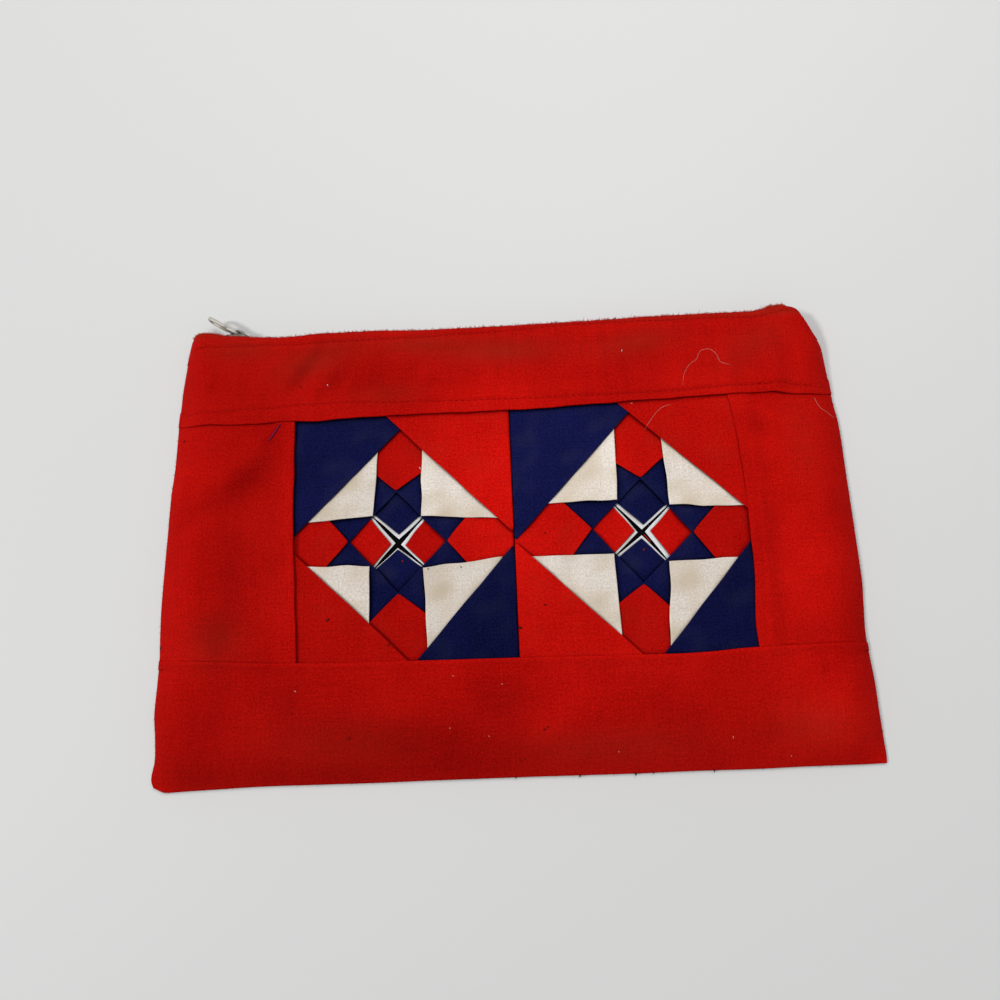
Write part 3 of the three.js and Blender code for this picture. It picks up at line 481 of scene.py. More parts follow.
def cotton(name, deep, pale, soiled, turn=0.0, relief=0.5, shade=0.12, reach=1.4):
    """Plain-weave cotton between a deep and a pale colour, with the weave turned by an angle. In tight
    folds, within a reach, painted shade darkens its colour to a shade of its deep colour."""
    material, tree, shader = new_finish(name, {"Roughness": 0.93, "Specular IOR Level": 0.02})
    place = add(tree, "TexCoord").outputs["Object"]
    turned = add(tree, "Mapping", Vector=place, Rotation=(0, 0, np.radians(turn)), Scale=(1, 1, 0))
    flat = turned.outputs[0]

    # Threads: a ridge along each, warp or weft on top by turns
    shaken = add(tree, "TexNoise", Vector=flat, Scale=STRAY_SCALE, Detail=1.0)
    drift = add(tree, "VectorMath", operation="MULTIPLY_ADD")
    for socket, value in zip(drift.inputs, (shaken.outputs["Color"], (STRAY,) * 3, flat)):
        feed(tree, socket, value)
    threads = drift.outputs[0]
    ridges = []
    for direction in ("X", "Y"):
        wave = add(tree, "TexWave", bands_direction=direction, Vector=threads, Scale=RIDGE_SCALE)
        ridges.append(wave.outputs["Fac"])
    over = add(tree, "TexChecker", Vector=threads, Scale=1 / THREAD_PITCH)
    weave = mixed(tree, over.outputs["Fac"], *ridges)

    # Colour: slubs along both thread directions, fine nap, and broad fading
    slubs = maths(tree, "ADD", grain(tree, flat, SLUBS_ALONG), grain(tree, flat, SLUBS_ACROSS))
    nap = grain(tree, flat, NAP, rough=0.75)
    cloud = grain(tree, flat, CLOUD, detail=5.0)
    tone = maths(tree, "MULTIPLY", slubs, SLUB_SHARE)
    tone = maths(tree, "ADD", tone, maths(tree, "MULTIPLY", nap, NAP_SHARE))
    tone = maths(tree, "ADD", tone, maths(tree, "MULTIPLY", cloud, CLOUD_SHARE))
    colour = mixed(tree, ranged(tree, tone, TONES), deep, pale)
    colour = mixed(tree, 1.0, colour, mixed(tree, weave, GAP_TONE, RIDGE_TONE), "MULTIPLY")

    # Soil: blotches where the cloth is soiled. The fade attribute makes places paler or deeper, partly as
    # painted light and shade
    soil = add(tree, "Attribute", attribute_name="soil").outputs["Fac"]
    blotch = maths(tree, "MULTIPLY", soil, maths(tree, "ADD", cloud, 0.45))
    colour = mixed(tree, blotch, colour, soiled)
    fade = add(tree, "Attribute", attribute_name="fade").outputs["Fac"]
    toned_with_painted_light = add(tree, "VectorMath", operation="SCALE", Scale=maths(tree, "ADD", fade, 1.0))
    feed(tree, toned_with_painted_light.inputs[0], colour)

    # Painted shade in the folds: the colour darkens where ambient occlusion finds close cloth
    shut = add(tree, "AmbientOcclusion", samples=4, Distance=reach * MM)
    unshaded = ranged(tree, shut.outputs["AO"], OPENNESS, way="SMOOTHSTEP")
    colour = mixed(tree, unshaded, tuple(shade * c for c in deep), toned_with_painted_light.outputs[0])
    feed(tree, shader.inputs["Base Color"], colour)

    # Relief: the weave and the nap
    height = maths(tree, "ADD", weave, maths(tree, "MULTIPLY", nap, NAP_RELIEF))
    bump = add(tree, "Bump", Strength=relief, Distance=WEAVE_HEIGHT, Height=height)
    feed(tree, shader.inputs["Normal"], bump.outputs[0])
    return material


RED = (0.345, 0.0015, 0.001), (0.675, 0.0075, 0.004), (0.25, 0.020, 0.009)
NAVY = (0.0018, 0.0026, 0.024), (0.0095, 0.0115, 0.077), (0.05, 0.05, 0.09)
WHITE = (0.60, 0.52, 0.44), (0.95, 0.87, 0.78), (0.60, 0.50, 0.37)
BLEACHED = (0.66, 0.66, 0.67), (0.98, 0.98, 1.0), (0.62, 0.58, 0.52)
BLACK = (0.002, 0.002, 0.003), (0.006, 0.006, 0.008), (0.01, 0.01, 0.012)
red_cotton = cotton("red cotton", *RED, shade=0.58, reach=2.0)
red_bias_cotton = cotton("red cotton on the bias", *RED, turn=45, shade=0.4, reach=2.0)
navy_cotton = cotton("navy cotton", *NAVY, reach=2.4)
navy_bias_cotton = cotton("navy cotton on the bias", *NAVY, turn=45, reach=2.4)
white_cotton = cotton("white cotton", *WHITE, relief=0.4, shade=0.5)
bleached_cotton = cotton("bleached cotton on the bias", *BLEACHED, turn=45, relief=0.4, shade=0.5)
black_cotton = cotton("black cotton", *BLACK)
print("cotton materials:", sum("cotton" in m.name for m in bpy.data.materials))

# %% [markdown]
# ## The back panel
# The back is one plain red cloth. It lies on the table, turns up to the seam along its sides and
# bottom, and is folded over along the zipper. A single grid runs over it, with its rows close together
# where it turns.

# %% Back panel
BACK_RADIUS = 8.0
BACK_FOLD = 0.8
BACK_RETURN = 9.0
BACK_UNDER_SEAM = 0.2


def back_panel():
    """Outer face of the back cloth: flat on the table, a quarter ellipse up to the seam at three
    sides, and round the zipper fold to a return inside."""
    low_rows = rounded_rows(-HALF_HEIGHT, BACK_RADIUS, 7)
    flat_rows = np.linspace(-HALF_HEIGHT + BACK_RADIUS, HALF_HEIGHT - BACK_FOLD, 96)
    turn = np.linspace(-np.pi / 2, np.pi / 2, 9)[1:]
    round_rows = HALF_HEIGHT - BACK_FOLD + BACK_FOLD * np.cos(turn)
    inside = np.linspace(HALF_HEIGHT - BACK_FOLD, HALF_HEIGHT - BACK_RETURN, 7)[1:]
    y = np.concatenate((low_rows, flat_rows, round_rows, inside))
    rise = np.concatenate((BACK_FOLD + BACK_FOLD * np.sin(turn), np.full(len(inside), 2 * BACK_FOLD)))
    level = np.concatenate((np.zeros(len(y) - len(rise)), rise))
    x, y = np.meshgrid(columns_across(BACK_RADIUS, 150, 7), y, indexing="ij")
    side = quarter_round((HALF_WIDTH - np.abs(x)) / BACK_RADIUS)
    bottom = quarter_round((y + HALF_HEIGHT) / BACK_RADIUS)
    loose = 0.03 + 0.14 * np.maximum(0, 0.6 + ripples(x, y, 30, 7))
    seam = seam_height(y) - BACK_UNDER_SEAM
    z = seam + (level + loose - seam) * side * bottom
    return np.stack((*wander(x, y), z), -1)


back = piece("back_cloth", cloth_shell(back_panel()[:, ::-1], CLOTH), red_cotton, "back_panel")
print("back cloth points:", len(back.data.vertices))

# %% [markdown]
# ## The bands and side panels
# Each border is a strip of red cotton with a folded edge: the cloth comes back under itself for a few
# millimetres, so the edge is a small round nose with a shadow under it. A profile from the turned-under
# end, round the nose and out to the far side is carried along the fold line. Stitches pull
# a groove into the cloth beside the fold.

# %% Borders
HEM = 6.0
GROOVE, GROOVE_WIDTH = 0.42, 0.55
CREASE, CREASE_WIDTH = 0.18, 0.7
# x, height of what lies under the top band's fold and the bottom seam: panels, their hems, the blocks
UNDER_TOP_FOLD = (
    (-123.2, 8.8), (-91, 8.85), (-86, 9.4), (-82, 10.2), (-78, 10.3), (-74, 10.1), (0, 10.05), (79, 10.05),
    (83, 10.1), (87, 9.9), (91.5, 9.1), (96, 8.85), (101, 9.2), (106, 8.85), (123.2, 8.8),
)
UNDER_BOTTOM_SEAM = (
    (-123, 8.9), (-86, 8.95), (-81, 9.9), (-78, 10.4), (-75, 10.3), (-71, 9.8), (0, 9.8), (80, 9.8),
    (83.3, 10.1), (86.5, 10.1), (90, 9.5), (95, 8.95), (123, 8.9),
)
SEAM_STEP = 0.1
# Along the bottom seam, the ridge of the allowance under the band with a dip behind it, and a worn
# line lit by a painted highlight with a line of painted shade behind it: distance from the seam, width,
# rise or change of tone
ALLOWANCE_RIDGE = ((2.6, 0.9, 0.10), (4.2, 0.8, -0.12))
WORN_SEAM_HIGHLIGHT_AND_SHADE = ((0.45, 0.45, 0.09), (2.0, 0.8, -0.08))
# Where even rows start behind the top band's fold, and behind the other folds
TOP_FOLD_START, FOLD_START = 1.0, 0.8
# How far each hem lies level, and over how far it then slopes to the single cloth
TOP_HEM, ZIP_HEM, SEAM_HEM, PANEL_HEM = (4, 8), (5, 5), (2.2, 9), (3.5, 7)
ZIP_NOSE, ZIP_RETURN = 0.75, 9.0
# Small waves that the stitches pull into the top band: height and length, and how far its fold sways
PINCH, PINCH_LENGTH, FOLD_SWAY = 0.10, 9.3, 0.15
# Loose cloth: what its swells are raised by, and the heights of its broad and small ripples
SLACK_SWELL, BROAD_RIPPLE, SMALL_RIPPLE = 1.5, 0.18, 0.06
TOP_BAND_MIDDLE = 64.0
# y where a panel starts, its length, its allowance under both bands, and how far each presses it down
PANEL_FROM, PANEL_LENGTH, ALLOWANCE = -46.5, 98.0, 3.0
BAND_PRESS, SEAM_PRESS = 0.5, 0.8
# Slack and pulled places of the borders: x, y, long reach, short reach, turn, rise
BORDER_SWELLS = (
    (-103, 17, 22, 6, 45, -0.9), (-97, 27, 24, 6, 45, 0.7), (-104, -34, 14, 8, 20, -0.7),
    (-112, -10, 16, 6, 80, 0.6), (-70, 66, 16, 5, 60, -0.6), (-58, 64, 16, 6, 65, 0.5),
    (-30, 62, 26, 6, 10, 0.4), (22, 64, 24, 7, 170, 0.4), (60, 66, 20, 5, 20, -0.4),
    (101, 56, 9, 5, 100, 0.9), (92, 60, 8, 4, 60, -0.5), (104, 24, 20, 7, 120, 0.8),
    (97, 2, 18, 6, 70, -0.3), (108, -22, 18, 7, 100, 0.5), (104, 39, 14, 2.5, 150, 0.28),
    (100, 33, 12, 2.5, 160, -0.28), (92, 41, 9, 3, 10, -0.25), (-76, 66, 14, 2.5, 55, -0.32),
    (-66, 65, 14, 2.5, 58, 0.32), (-60, 62, 12, 2.5, 60, -0.28), (-88, 66, 10, 3, 60, 0.22),
    (-50, 66, 12, 3, 70, 0.2), (-35, 60, 10, 2.5, 60, -0.2), (4, 66, 14, 2.2, 88, -0.22),
    (-98, -14, 16, 2.5, 95, -0.32), (-92, -12, 14, 2.5, 92, 0.24), (-104, -32, 12, 2.5, 80, -0.28),
    (-111, -20, 16, 3, 88, 0.26), (-70, -62, 30, 8, 8, 0.5),
    (-20, -66, 26, 8, 175, -0.4), (40, -60, 30, 8, 5, 0.5), (90, -62, 20, 9, 160, -0.5),
)


def slack(x, y):
    """Loose cloth: the swells, broad ripples and small ones, in millimetres."""
    rippled = BROAD_RIPPLE * ripples(x, y, 24, 3) + SMALL_RIPPLE * ripples(x, y, 7, 4)
    return SLACK_SWELL * swells(BORDER_SWELLS, x, y) + rippled


def groove(distance, depth=GROOVE, width=GROOVE_WIDTH):
    """Stitches pull the cloth down in a narrow line: a bell curve across it."""
    return -depth * np.exp(-((distance / width) ** 2))


def over_hem(distance, hem):
    """1 over a hem's level part, then a smooth fall to 0 over its slope."""
    level, slope = hem
    return 1 - smooth_step((distance - level) / slope)


def fold_profile(inner, reach):
    """Distances from a fold and height offsets along a folded cloth: under it from the hem's end,
    round the nose, and out to a reach. Heights count from the cloth that it lies on."""
    turn = np.linspace(-np.pi / 2, np.pi / 2, 9)
    under = np.linspace(inner, FOLD, 6)[:-1]
    distance = np.concatenate((under, FOLD - FOLD * np.cos(turn), [reach]))
    offset = np.concatenate((0 * under, FOLD + FOLD * np.sin(turn), [2 * FOLD]))
    return distance, offset


def top_band_level(x, y):
    """Height of the top band's upper face: over the hem at its fold, sloping to the single cloth,
    and over the zipper hem at its upper edge, with a groove along each row of stitches."""
    from_fold = y - along(TOP_FOLD, x)
    hem = over_hem(from_fold, TOP_HEM)
    zip_hem = over_hem(HALF_HEIGHT - y, ZIP_HEM)
    level = BAND_TOP + (along(UNDER_TOP_FOLD, x) + 2 * FOLD - BAND_TOP) * hem
    level = level + (ZIP_HEM_TOP - BAND_TOP) * zip_hem
    loose = slack(x, y) * smooth_step(from_fold / 6) * (1 - 0.6 * zip_hem)
    pinch = PINCH * np.cos(x * 2 * np.pi / PINCH_LENGTH + 2 * ripples(x, 0, 40, 11))
    grooves = groove(y - along(TOP_FOLD_STITCH, x)) + groove(y - along(TOP_STITCH, x))
    return level + loose + pinch * smooth_step(from_fold / 3) + grooves


def top_band():
    """Outer face of the top band, from the hem under its fold to the hem inside the zipper edge."""
    distance, offset = fold_profile(HEM, TOP_FOLD_START)
    start = len(distance)
    turn = np.linspace(np.pi / 2, -np.pi / 2, 9)[1:]
    inside = np.linspace(ZIP_NOSE, ZIP_RETURN, 6)[1:]
    x = columns_across(edge_radius(TOP_BAND_MIDDLE), 250, 10)[:, None]
    fold = along(TOP_FOLD, x)
    last = HALF_HEIGHT - ZIP_NOSE
    y_low = fold + distance
    y_middle = fold + TOP_FOLD_START + (last - fold - TOP_FOLD_START) * np.linspace(0, 1, 56)[1:]
    y_end = np.concatenate((last + ZIP_NOSE * np.cos(turn), HALF_HEIGHT - inside)) + 0 * x
    y = np.concatenate((y_low, y_middle, y_end), 1)
    y[:, :start] += FOLD_SWAY * ripples(x, 0, 18, 21)
    fall = np.concatenate((ZIP_NOSE - ZIP_NOSE * np.sin(turn), np.full(len(inside), 2 * ZIP_NOSE)))
    lower = top_band_level(x + 0 * y_low, y_low) + offset - 2 * FOLD
    edge = top_band_level(x, np.full_like(x, last)) - fall
    level = np.concatenate((lower, top_band_level(x + 0 * y_middle, y_middle), edge), 1)
    return on_front(x + 0 * y, y, level)


def bottom_band_level(x, y):
    """Height of the bottom band's upper face: a crisp seam edge, the ridge of the turned allowance
    beside it, and loose cloth down to the bottom seam."""
    from_seam = along(BOTTOM_SEAM, x) - y
    hem = over_hem(from_seam, SEAM_HEM)
    ridge = bells(ALLOWANCE_RIDGE, from_seam)
    level = PANEL_TOP + (along(UNDER_BOTTOM_SEAM, x) + SEAM_STEP - PANEL_TOP) * hem
    return level + ridge + slack(x, y) * smooth_step(from_seam / 8)


def bottom_band():
    """Outer face of the bottom band, from the allowance under its seam edge to the bottom seam."""
    distance, offset = fold_profile(ALLOWANCE, FOLD_START)
    start = len(distance)
    x = columns_across(EDGE_RADIUS, 250, 10)[:, None]
    seam = along(BOTTOM_SEAM, x)
    lowest = -HALF_HEIGHT + EDGE_RADIUS
    y_middle = seam - FOLD_START + (lowest - seam + FOLD_START) * np.linspace(0, 1, 44)[1:]
    y_edge = rounded_rows(-HALF_HEIGHT, EDGE_RADIUS, 11)[::-1] + 0 * x
    y = np.concatenate((seam - distance, y_middle, y_edge), 1)
    edge_level = bottom_band_level(x, seam - FOLD_START)
    x = x + 0 * y
    level = bottom_band_level(x[:, start:], y[:, start:])
    return on_front(x, y, np.concatenate((edge_level - 2 * FOLD + offset, level), 1))


# Each panel's side, fold, crease, and how far its hem stands over the block
PANELS = {"left": (-1, LEFT_FOLD, LEFT_CREASE, 0.35), "right": (1, RIGHT_FOLD, RIGHT_CREASE, -0.08)}


def panel_level(panel, x, y):
    """Height of a side panel's upper face: over the hem beside its fold, then single loose cloth that
    lies flat again along both bands."""
    side, fold_line, crease_line, rest = PANELS[panel]
    from_fold = side * (x - along(fold_line, y))
    hem = over_hem(from_fold, PANEL_HEM)
    level = PANEL_TOP + (CORNER_TOP + rest + 2 * FOLD - PANEL_TOP) * hem
    held = smooth_step((along(TOP_FOLD, x) - y) / 8) * smooth_step((y - along(BOTTOM_SEAM, x)) / 8)
    crease = groove(x - along(crease_line, y), CREASE, CREASE_WIDTH)
    return level + slack(x, y) * smooth_step(from_fold / 7) * held + crease


def side_panel(panel):
    """Outer face of a side panel, from the hem under its fold to the side seam. It runs under both
    bands by a seam allowance, and is drawn down along each."""
    side, fold_line = PANELS[panel][:2]
    distance, offset = fold_profile(HEM, FOLD_START)
    share = np.linspace(0, 1, 116)[:, None]
    y_along = PANEL_FROM + PANEL_LENGTH * share
    fold = along(fold_line, y_along) + 0.08 * ripples(0, y_along, 16, 31 + side)
    first, last = fold + side * FOLD_START, side * (HALF_WIDTH - EDGE_RADIUS)
    x_middle = first + (last - first) * np.linspace(0, 1, 34)[1:]
    x_edge = side * -rounded_rows(-HALF_WIDTH, EDGE_RADIUS, 11)[::-1] + 0 * y_along
    x = np.concatenate((fold + side * distance, x_middle, x_edge), 1)
    low, high = along(BOTTOM_SEAM, x) - ALLOWANCE, along(TOP_FOLD, x) + ALLOWANCE
    y = low + (high - low) * share
    level = panel_level(panel, x, y)
    level[:, : len(distance)] += offset - 2 * FOLD
    under_band = smooth_step((y - along(TOP_FOLD, x) - 0.3) / 1.6)
    under_seam = smooth_step((along(BOTTOM_SEAM, x) - y) / 1.2)
    return on_front(x, y, level - BAND_PRESS * under_band - SEAM_PRESS * under_seam)


# Where hands have soiled the borders: x, y, long reach, short reach, turn, strength
BORDER_SOIL = (
    (51, 72, 16, 5, 10, 0.35), (0, 71, 22, 5, 0, 0.45), (-70, 71, 16, 6, 20, 0.40),
    (-31, 75, 18, 4, 0, 0.35), (-43, 55, 12, 4, 0, 0.25), (-100, 76, 14, 5, 0, 0.30),
    (96, 70, 14, 7, 30, 0.25), (-104, -34, 10, 8, 0, 0.30), (-60, -70, 24, 8, 0, 0.20),
    (30, -74, 30, 6, 0, 0.25), (100, -70, 16, 8, 0, 0.25), (108, 30, 6, 20, 0, 0.15),
)
# How strongly the zipper edge is soiled, from which y, and over how far
EDGE_SOIL, EDGE_SOIL_FROM, EDGE_SOIL_OVER = 0.35, 79.5, 3.0
# Rows that make the red paler or deeper, in the same columns. Those along the wrinkles and the left
# crease paint their shade and light, those that darken the bottom band paint shade, and the rest
# change only the cloth's tone.
TONE_AND_PAINTED_LIGHT = (
    (-3, 17, 22, 29, 0, 0.36), (-8, 55, 14, 7, 0, 0.07), (-100, 62, 30, 20, 0, -0.16),
    (-52, 63, 24, 13, 0, -0.21), (-76, 65, 10, 3, 50, -0.16), (-66, 60, 6, 3, 50, -0.12),
    (-70, 69, 11, 2.2, 58, 0.13), (60, 66, 40, 12, 0, -0.07), (34, 63, 11, 8, 0, 0.09),
    (-100, 0, 24, 50, 0, -0.20), (-95, 25, 12, 5.5, 42, -0.24), (-86, 41, 7, 2.5, 55, -0.14),
    (-98, -12, 15, 4.5, 95, -0.12), (-103, -31, 12, 4, 80, -0.15), (-108, 26, 10, 7, 0, 0.10),
    (-113, -15, 20, 5, 90, 0.10), (103, 10, 22, 50, 0, 0.06), (92, 37, 9, 4, 0, -0.10),
    (106, 33, 14, 2.5, 135, 0.06), (100, -39, 14, 6, 0, -0.10), (-75, -64, 60, 22, 0, -0.22),
    (-35, -68, 26, 6, 0, -0.20), (-5, -58, 13, 9, 0, -0.24), (-5, -74, 30, 6, 0, -0.20),
    (54, -68, 32, 11, -3, -0.22), (84, -70, 9, 3.5, 0, -0.10), (-77, -55, 4, 11, 0, -0.10),
    (19, -57, 12, 9, 0, 0.08), (109, -64, 12, 14, 0, 0.05), (-60, -80, 80, 4, 0, -0.12),
    (-112, -75, 16, 7, 0, -0.15), (-38, -75, 15, 6, 0, -0.10), (70, -56, 34, 8, 0, -0.07),
    (-4, 66, 28, 8, 0, -0.05), (-79.0, 0, 44, 1.7, 92, 0.05), (-85.0, 5, 40, 3.0, 92, -0.09),
)


def border_traits(points):
    """Soil and tone of a border cloth: the tables' places, a worn line along the zipper edge, and along
    the bottom seam a worn line lit by a painted highlight, with a line of painted shade beside it."""
    x, y = points[:, 0], points[:, 1]
    edge = EDGE_SOIL * smooth_step((y - EDGE_SOIL_FROM) / EDGE_SOIL_OVER)
    seam_highlight_and_shade = bells(WORN_SEAM_HIGHLIGHT_AND_SHADE, along(BOTTOM_SEAM, x) - y)
    return {"soil": np.clip(swells(BORDER_SOIL, x, y) + edge, 0, 1), "fade": swells(TONE_AND_PAINTED_LIGHT, x, y) + seam_highlight_and_shade}


def border(name, node, grid):
    """One border cloth as a piece: a shell of the grid in red cotton, with its soil and tone."""
    body = cloth_shell(grid, CLOTH)
    made = piece(name, body, red_cotton, node, traits=border_traits(body[0]))
    print(name, "points:", len(body[0]))


border("left_panel_cloth", "left_panel", side_panel("left"))
border("right_panel_cloth", "right_panel", side_panel("right")[:, ::-1])
border("top_band_cloth", "top_band", top_band())
border("bottom_band_cloth", "bottom_band", bottom_band()[:, ::-1])

# %% [markdown]
# ## The folded stars
# A folded star is built outwards from its centre on a foundation cloth. Each round is folded squares
# laid over the last: white points round a black cross, navy and red points over them, navy
# strips that leave a square window, red lobes at its corners, white triangles on the diagonals, and
# four large corner triangles. Every patch is a doubled cloth with a round folded edge, and reaches
# under the next round, so the folds cast real shadows, which the cotton's painted shade deepens.

# %% Where the folds lie on each block
# For each arm, from the block's centre: points of the white fold and of the inner point, the window's
# corner, and the two shoulders where the red lobe meets the white triangles
ARM_FOLDS = {
    "left_block": {
        "north": ((0.4, 1.2), (0.4, 3.4), (-0.5, 18.5), (-7.7, 25.5), (8.4, 25.2)),
        "east": ((1.1, -1.0), (3.1, -1.5), (17.3, -0.4), (24.9, 7.7), (24.8, -8.3)),
        "south": ((-0.2, -2.3), (-0.2, -3.3), (0.1, -18.3), (9.0, -25.6), (-9.6, -28.6)),
        "west": ((-1.1, -0.3), (-3.0, -0.9), (-17.4, 0.7), (-25.0, -7.2), (-25.0, 8.4)),
    },
    "right_block": {
        "north": ((0.4, 0.8), (1.2, 2.9), (1.2, 19.5), (-7.5, 26.2), (10.2, 27.4)),
        "east": ((1.6, -0.1), (4.0, 0.2), (18.1, -1.1), (26.7, 7.5), (25.3, -10.6)),
        "south": ((0.2, -1.5), (-0.1, -3.1), (-0.7, -18.5), (7.5, -27.5), (-10.2, -25.9)),
        "west": ((-1.3, -0.3), (-2.8, 0.3), (-17.5, 1.4), (-24.9, -7.3), (-26.7, 10.8)),
    },
}
# For each diagonal: the end of the black cross, the white triangle's corner and its two tips (upright
# edge first), and two points on the corner triangle's fold
DIAGONAL_FOLDS = {
    "left_block": {
        "northwest": ((-8.9, 9.3), (-8.9, 9.7), (-7.2, 34.1), (-31.1, 8.3), (0.6, 41.8), (-36.8, 3.6)),
        "northeast": ((8.9, 8.5), (8.5, 9.0), (9.2, 33.4), (35.9, 7.2), (-4.1, 47.6), (41.7, 1.4)),
        "southwest": ((-8.7, -9.6), (-10.0, -8.6), (-9.9, -30.1), (-32.4, -7.8), (3.4, -41.8), (-35.9, -4.2)),
        "southeast": ((9.4, -9.3), (9.0, -9.9), (10.2, -37.0), (35.7, -7.1), (6.8, -41.7), (42.2, -1.9)),
    },
    "right_block": {
        "northwest": ((-9.0, 10.5), (-7.9, 11.8), (-7.0, 39.3), (-32.1, 11.3), (-1.4, 44.7), (-44.9, -1.6)),
        "northeast": ((10.3, 8.8), (10.8, 9.2), (10.0, 33.7), (37.2, 7.8), (-4.8, 48.4), (37.5, 7.5)),
        "southwest": (
            (-9.8, -8.5), (-10.4, -7.9), (-9.9, -35.7), (-38.7, -7.8), (-3.9, -42.6), (-45.3, -2.3),
        ),
        "southeast": ((8.7, -11.0), (8.7, -11.4), (6.6, -40.0), (32.1, -10.9), (4.6, -42.9), (37.8, -5.7)),
    },
}
CENTRES = {"left_block": (-40.2, -1.5), "right_block": (47.1, -1.1)}
# The opening in the bands and panels round each block, with the allowance that runs under them
UNDER_HEM = 2.6
BLOCK_SIDES = {
    "left_block": (-77.2 - UNDER_HEM, BLOCK_SEAM_X - 0.15, -43.4 - UNDER_HEM, 46.4 + UNDER_HEM),
    "right_block": (BLOCK_SEAM_X + 0.15, 84.8 + UNDER_HEM, -43.9 - UNDER_HEM, 48.2 + UNDER_HEM),
}
# How far each inner point stands back from the white fold under it, at its two ends
WHITE_WIDTHS = {
    "left_block": {"north": (1.6, 1.4), "east": (1.2, 1.0), "south": (0.7, 0.9), "west": (1.3, 1.2)},
    "right_block": {"north": (1.6, 1.2), "east": (1.4, 2.0), "south": (1.6, 1.0), "west": (1.1, 1.4)},
}
ARM_WAYS = {"north": (0, 1), "east": (1, 0), "south": (0, -1), "west": (-1, 0)}
ARM_COLOURS = {"north": "navy", "east": "red", "south": "navy", "west": "red"}
CORNER_COLOURS = {"northwest": "navy", "northeast": "red", "southwest": "red", "southeast": "navy"}
DIAGONAL_ARMS = {
    "northwest": ("north", "west"), "northeast": ("north", "east"),
    "southwest": ("south", "west"), "southeast": ("south", "east"),
}
print("folds measured on", len(CENTRES), "blocks")

# %% [markdown]
# A patch with a right-angled point has two folded edges that meet there. One with a straight edge has
# a single fold. Both are a grid that starts on the fold, with its first rows close together, where the
# doubled cloth rounds over: its half thickness is a quarter ellipse of the distance to the fold.

# %% Folded patches
HALF_PATCH = 0.21
NOSE = 0.5
THINNEST = 0.08
LIFT, LOBE_LIFT, STRIP_LIFT, LIFT_REACH = 0.24, 0.34, 0.38, 2.2
# How far folds bow, and how far into the patch the bow is felt
EDGE_BOW, BOW_REACH = 0.2, 5.0
LOBE_HALF, APEX_ROUND = 12.5, 0.4
LEAST_DEPTH = 0.9
LAYER_TOPS = {"white_edge": 7.3, "inner_point": 7.75, "navy_strip": 8.2, "red_lobe": 8.65,
              "white_triangle": 9.1, "corner": CORNER_TOP}
STRAIGHT_CLOTHS = {"red": red_cotton, "navy": navy_cotton, "white": white_cotton}
BIAS_CLOTHS = {"red": red_bias_cotton, "navy": navy_bias_cotton, "white": bleached_cotton}


def fold_steps(reach, nose=NOSE):
    """Distances from a fold: close steps over its rounded nose, then even ones to the reach. Both may
    differ along the fold."""
    reach, nose = np.asarray(reach)[..., None], np.asarray(nose)[..., None]
    close = nose * (1 - np.cos(np.linspace(0, np.pi / 2, 6))) + 0 * reach
    return np.concatenate((close, nose + (reach - nose) * np.linspace(0, 1, 22)[1:]), -1)


def rounding(distance):
    """Share of the full thickness at a distance from a fold: a quarter ellipse over the nose."""
    return np.maximum(quarter_round(distance / NOSE), THINNEST)


def patch_shell(plan, nearest, share, top, seed, lift=LIFT):
    """A doubled cloth over a plan grid. Its middle rises by the lift towards its folds, where the
    cloth springs up, and ripples slightly."""
    x, y = plan[..., 0], plan[..., 1]
    spring = lift * np.exp(-nearest / LIFT_REACH) * (1 + 0.4 * ripples(x, y, 9, seed + 1))
    middle = top - HALF_PATCH + spring + 0.07 * ripples(x, y, 11, seed)
    upper = np.concatenate((plan, (middle + HALF_PATCH * share)[..., None]), -1)
    lower = np.concatenate((plan, (middle - HALF_PATCH * share)[..., None]), -1)
    return thin_shell(upper, lower)


def folded_point(corner, tips, reach, top, seed, curve=0.25):
    """A patch with two folds that meet at a corner and run towards two tips: the place is the corner
    plus a distance along each fold. The folds bow by a little along their length."""
    a, b = unit(tips - corner)
    slant = abs(a[0] * b[1] - a[1] * b[0])
    s, t = np.meshgrid(fold_steps(reach[0]), fold_steps(reach[1]), indexing="ij")
    bow_a = curve * np.sin(np.pi * np.clip(s / reach[0], 0, 1)) * ripples(s, 0, 17, seed + 5)
    bow_b = curve * np.sin(np.pi * np.clip(t / reach[1], 0, 1)) * ripples(0, t, 17, seed + 6)
    fade = np.exp(-np.minimum(s, t) / BOW_REACH)
    plan = corner + (s + bow_b * fade)[..., None] * a + (t + bow_a * fade)[..., None] * b
    nearest = np.minimum(s, t) * slant
    return patch_shell(plan, nearest, rounding(s * slant) * rounding(t * slant), top, seed)


def folded_edge(start, end, outward, depth, top, seed, lift=LIFT, held=0.0, sunk=0.0):
    """A patch with one straight fold from start to end, reaching outwards by a depth that may differ
    along it. Within the held distance of its ends it lies flat, and is sunk under its neighbours."""
    s = np.linspace(0, 1, len(depth))[:, None]
    t = fold_steps(depth)
    bow = EDGE_BOW * np.sin(np.pi * s) * ripples(s * 40, 0, 19, seed + 5)
    fold = start + s[..., None] * (end - start)
    plan = fold + (t + bow * np.exp(-t / BOW_REACH))[..., None] * outward
    from_end = np.minimum(s, 1 - s) * np.linalg.norm(end - start)
    free = smooth_step(from_end / max(held, 0.01))
    return patch_shell(plan, t, rounding(t), top - sunk * (1 - free), seed, lift * free)


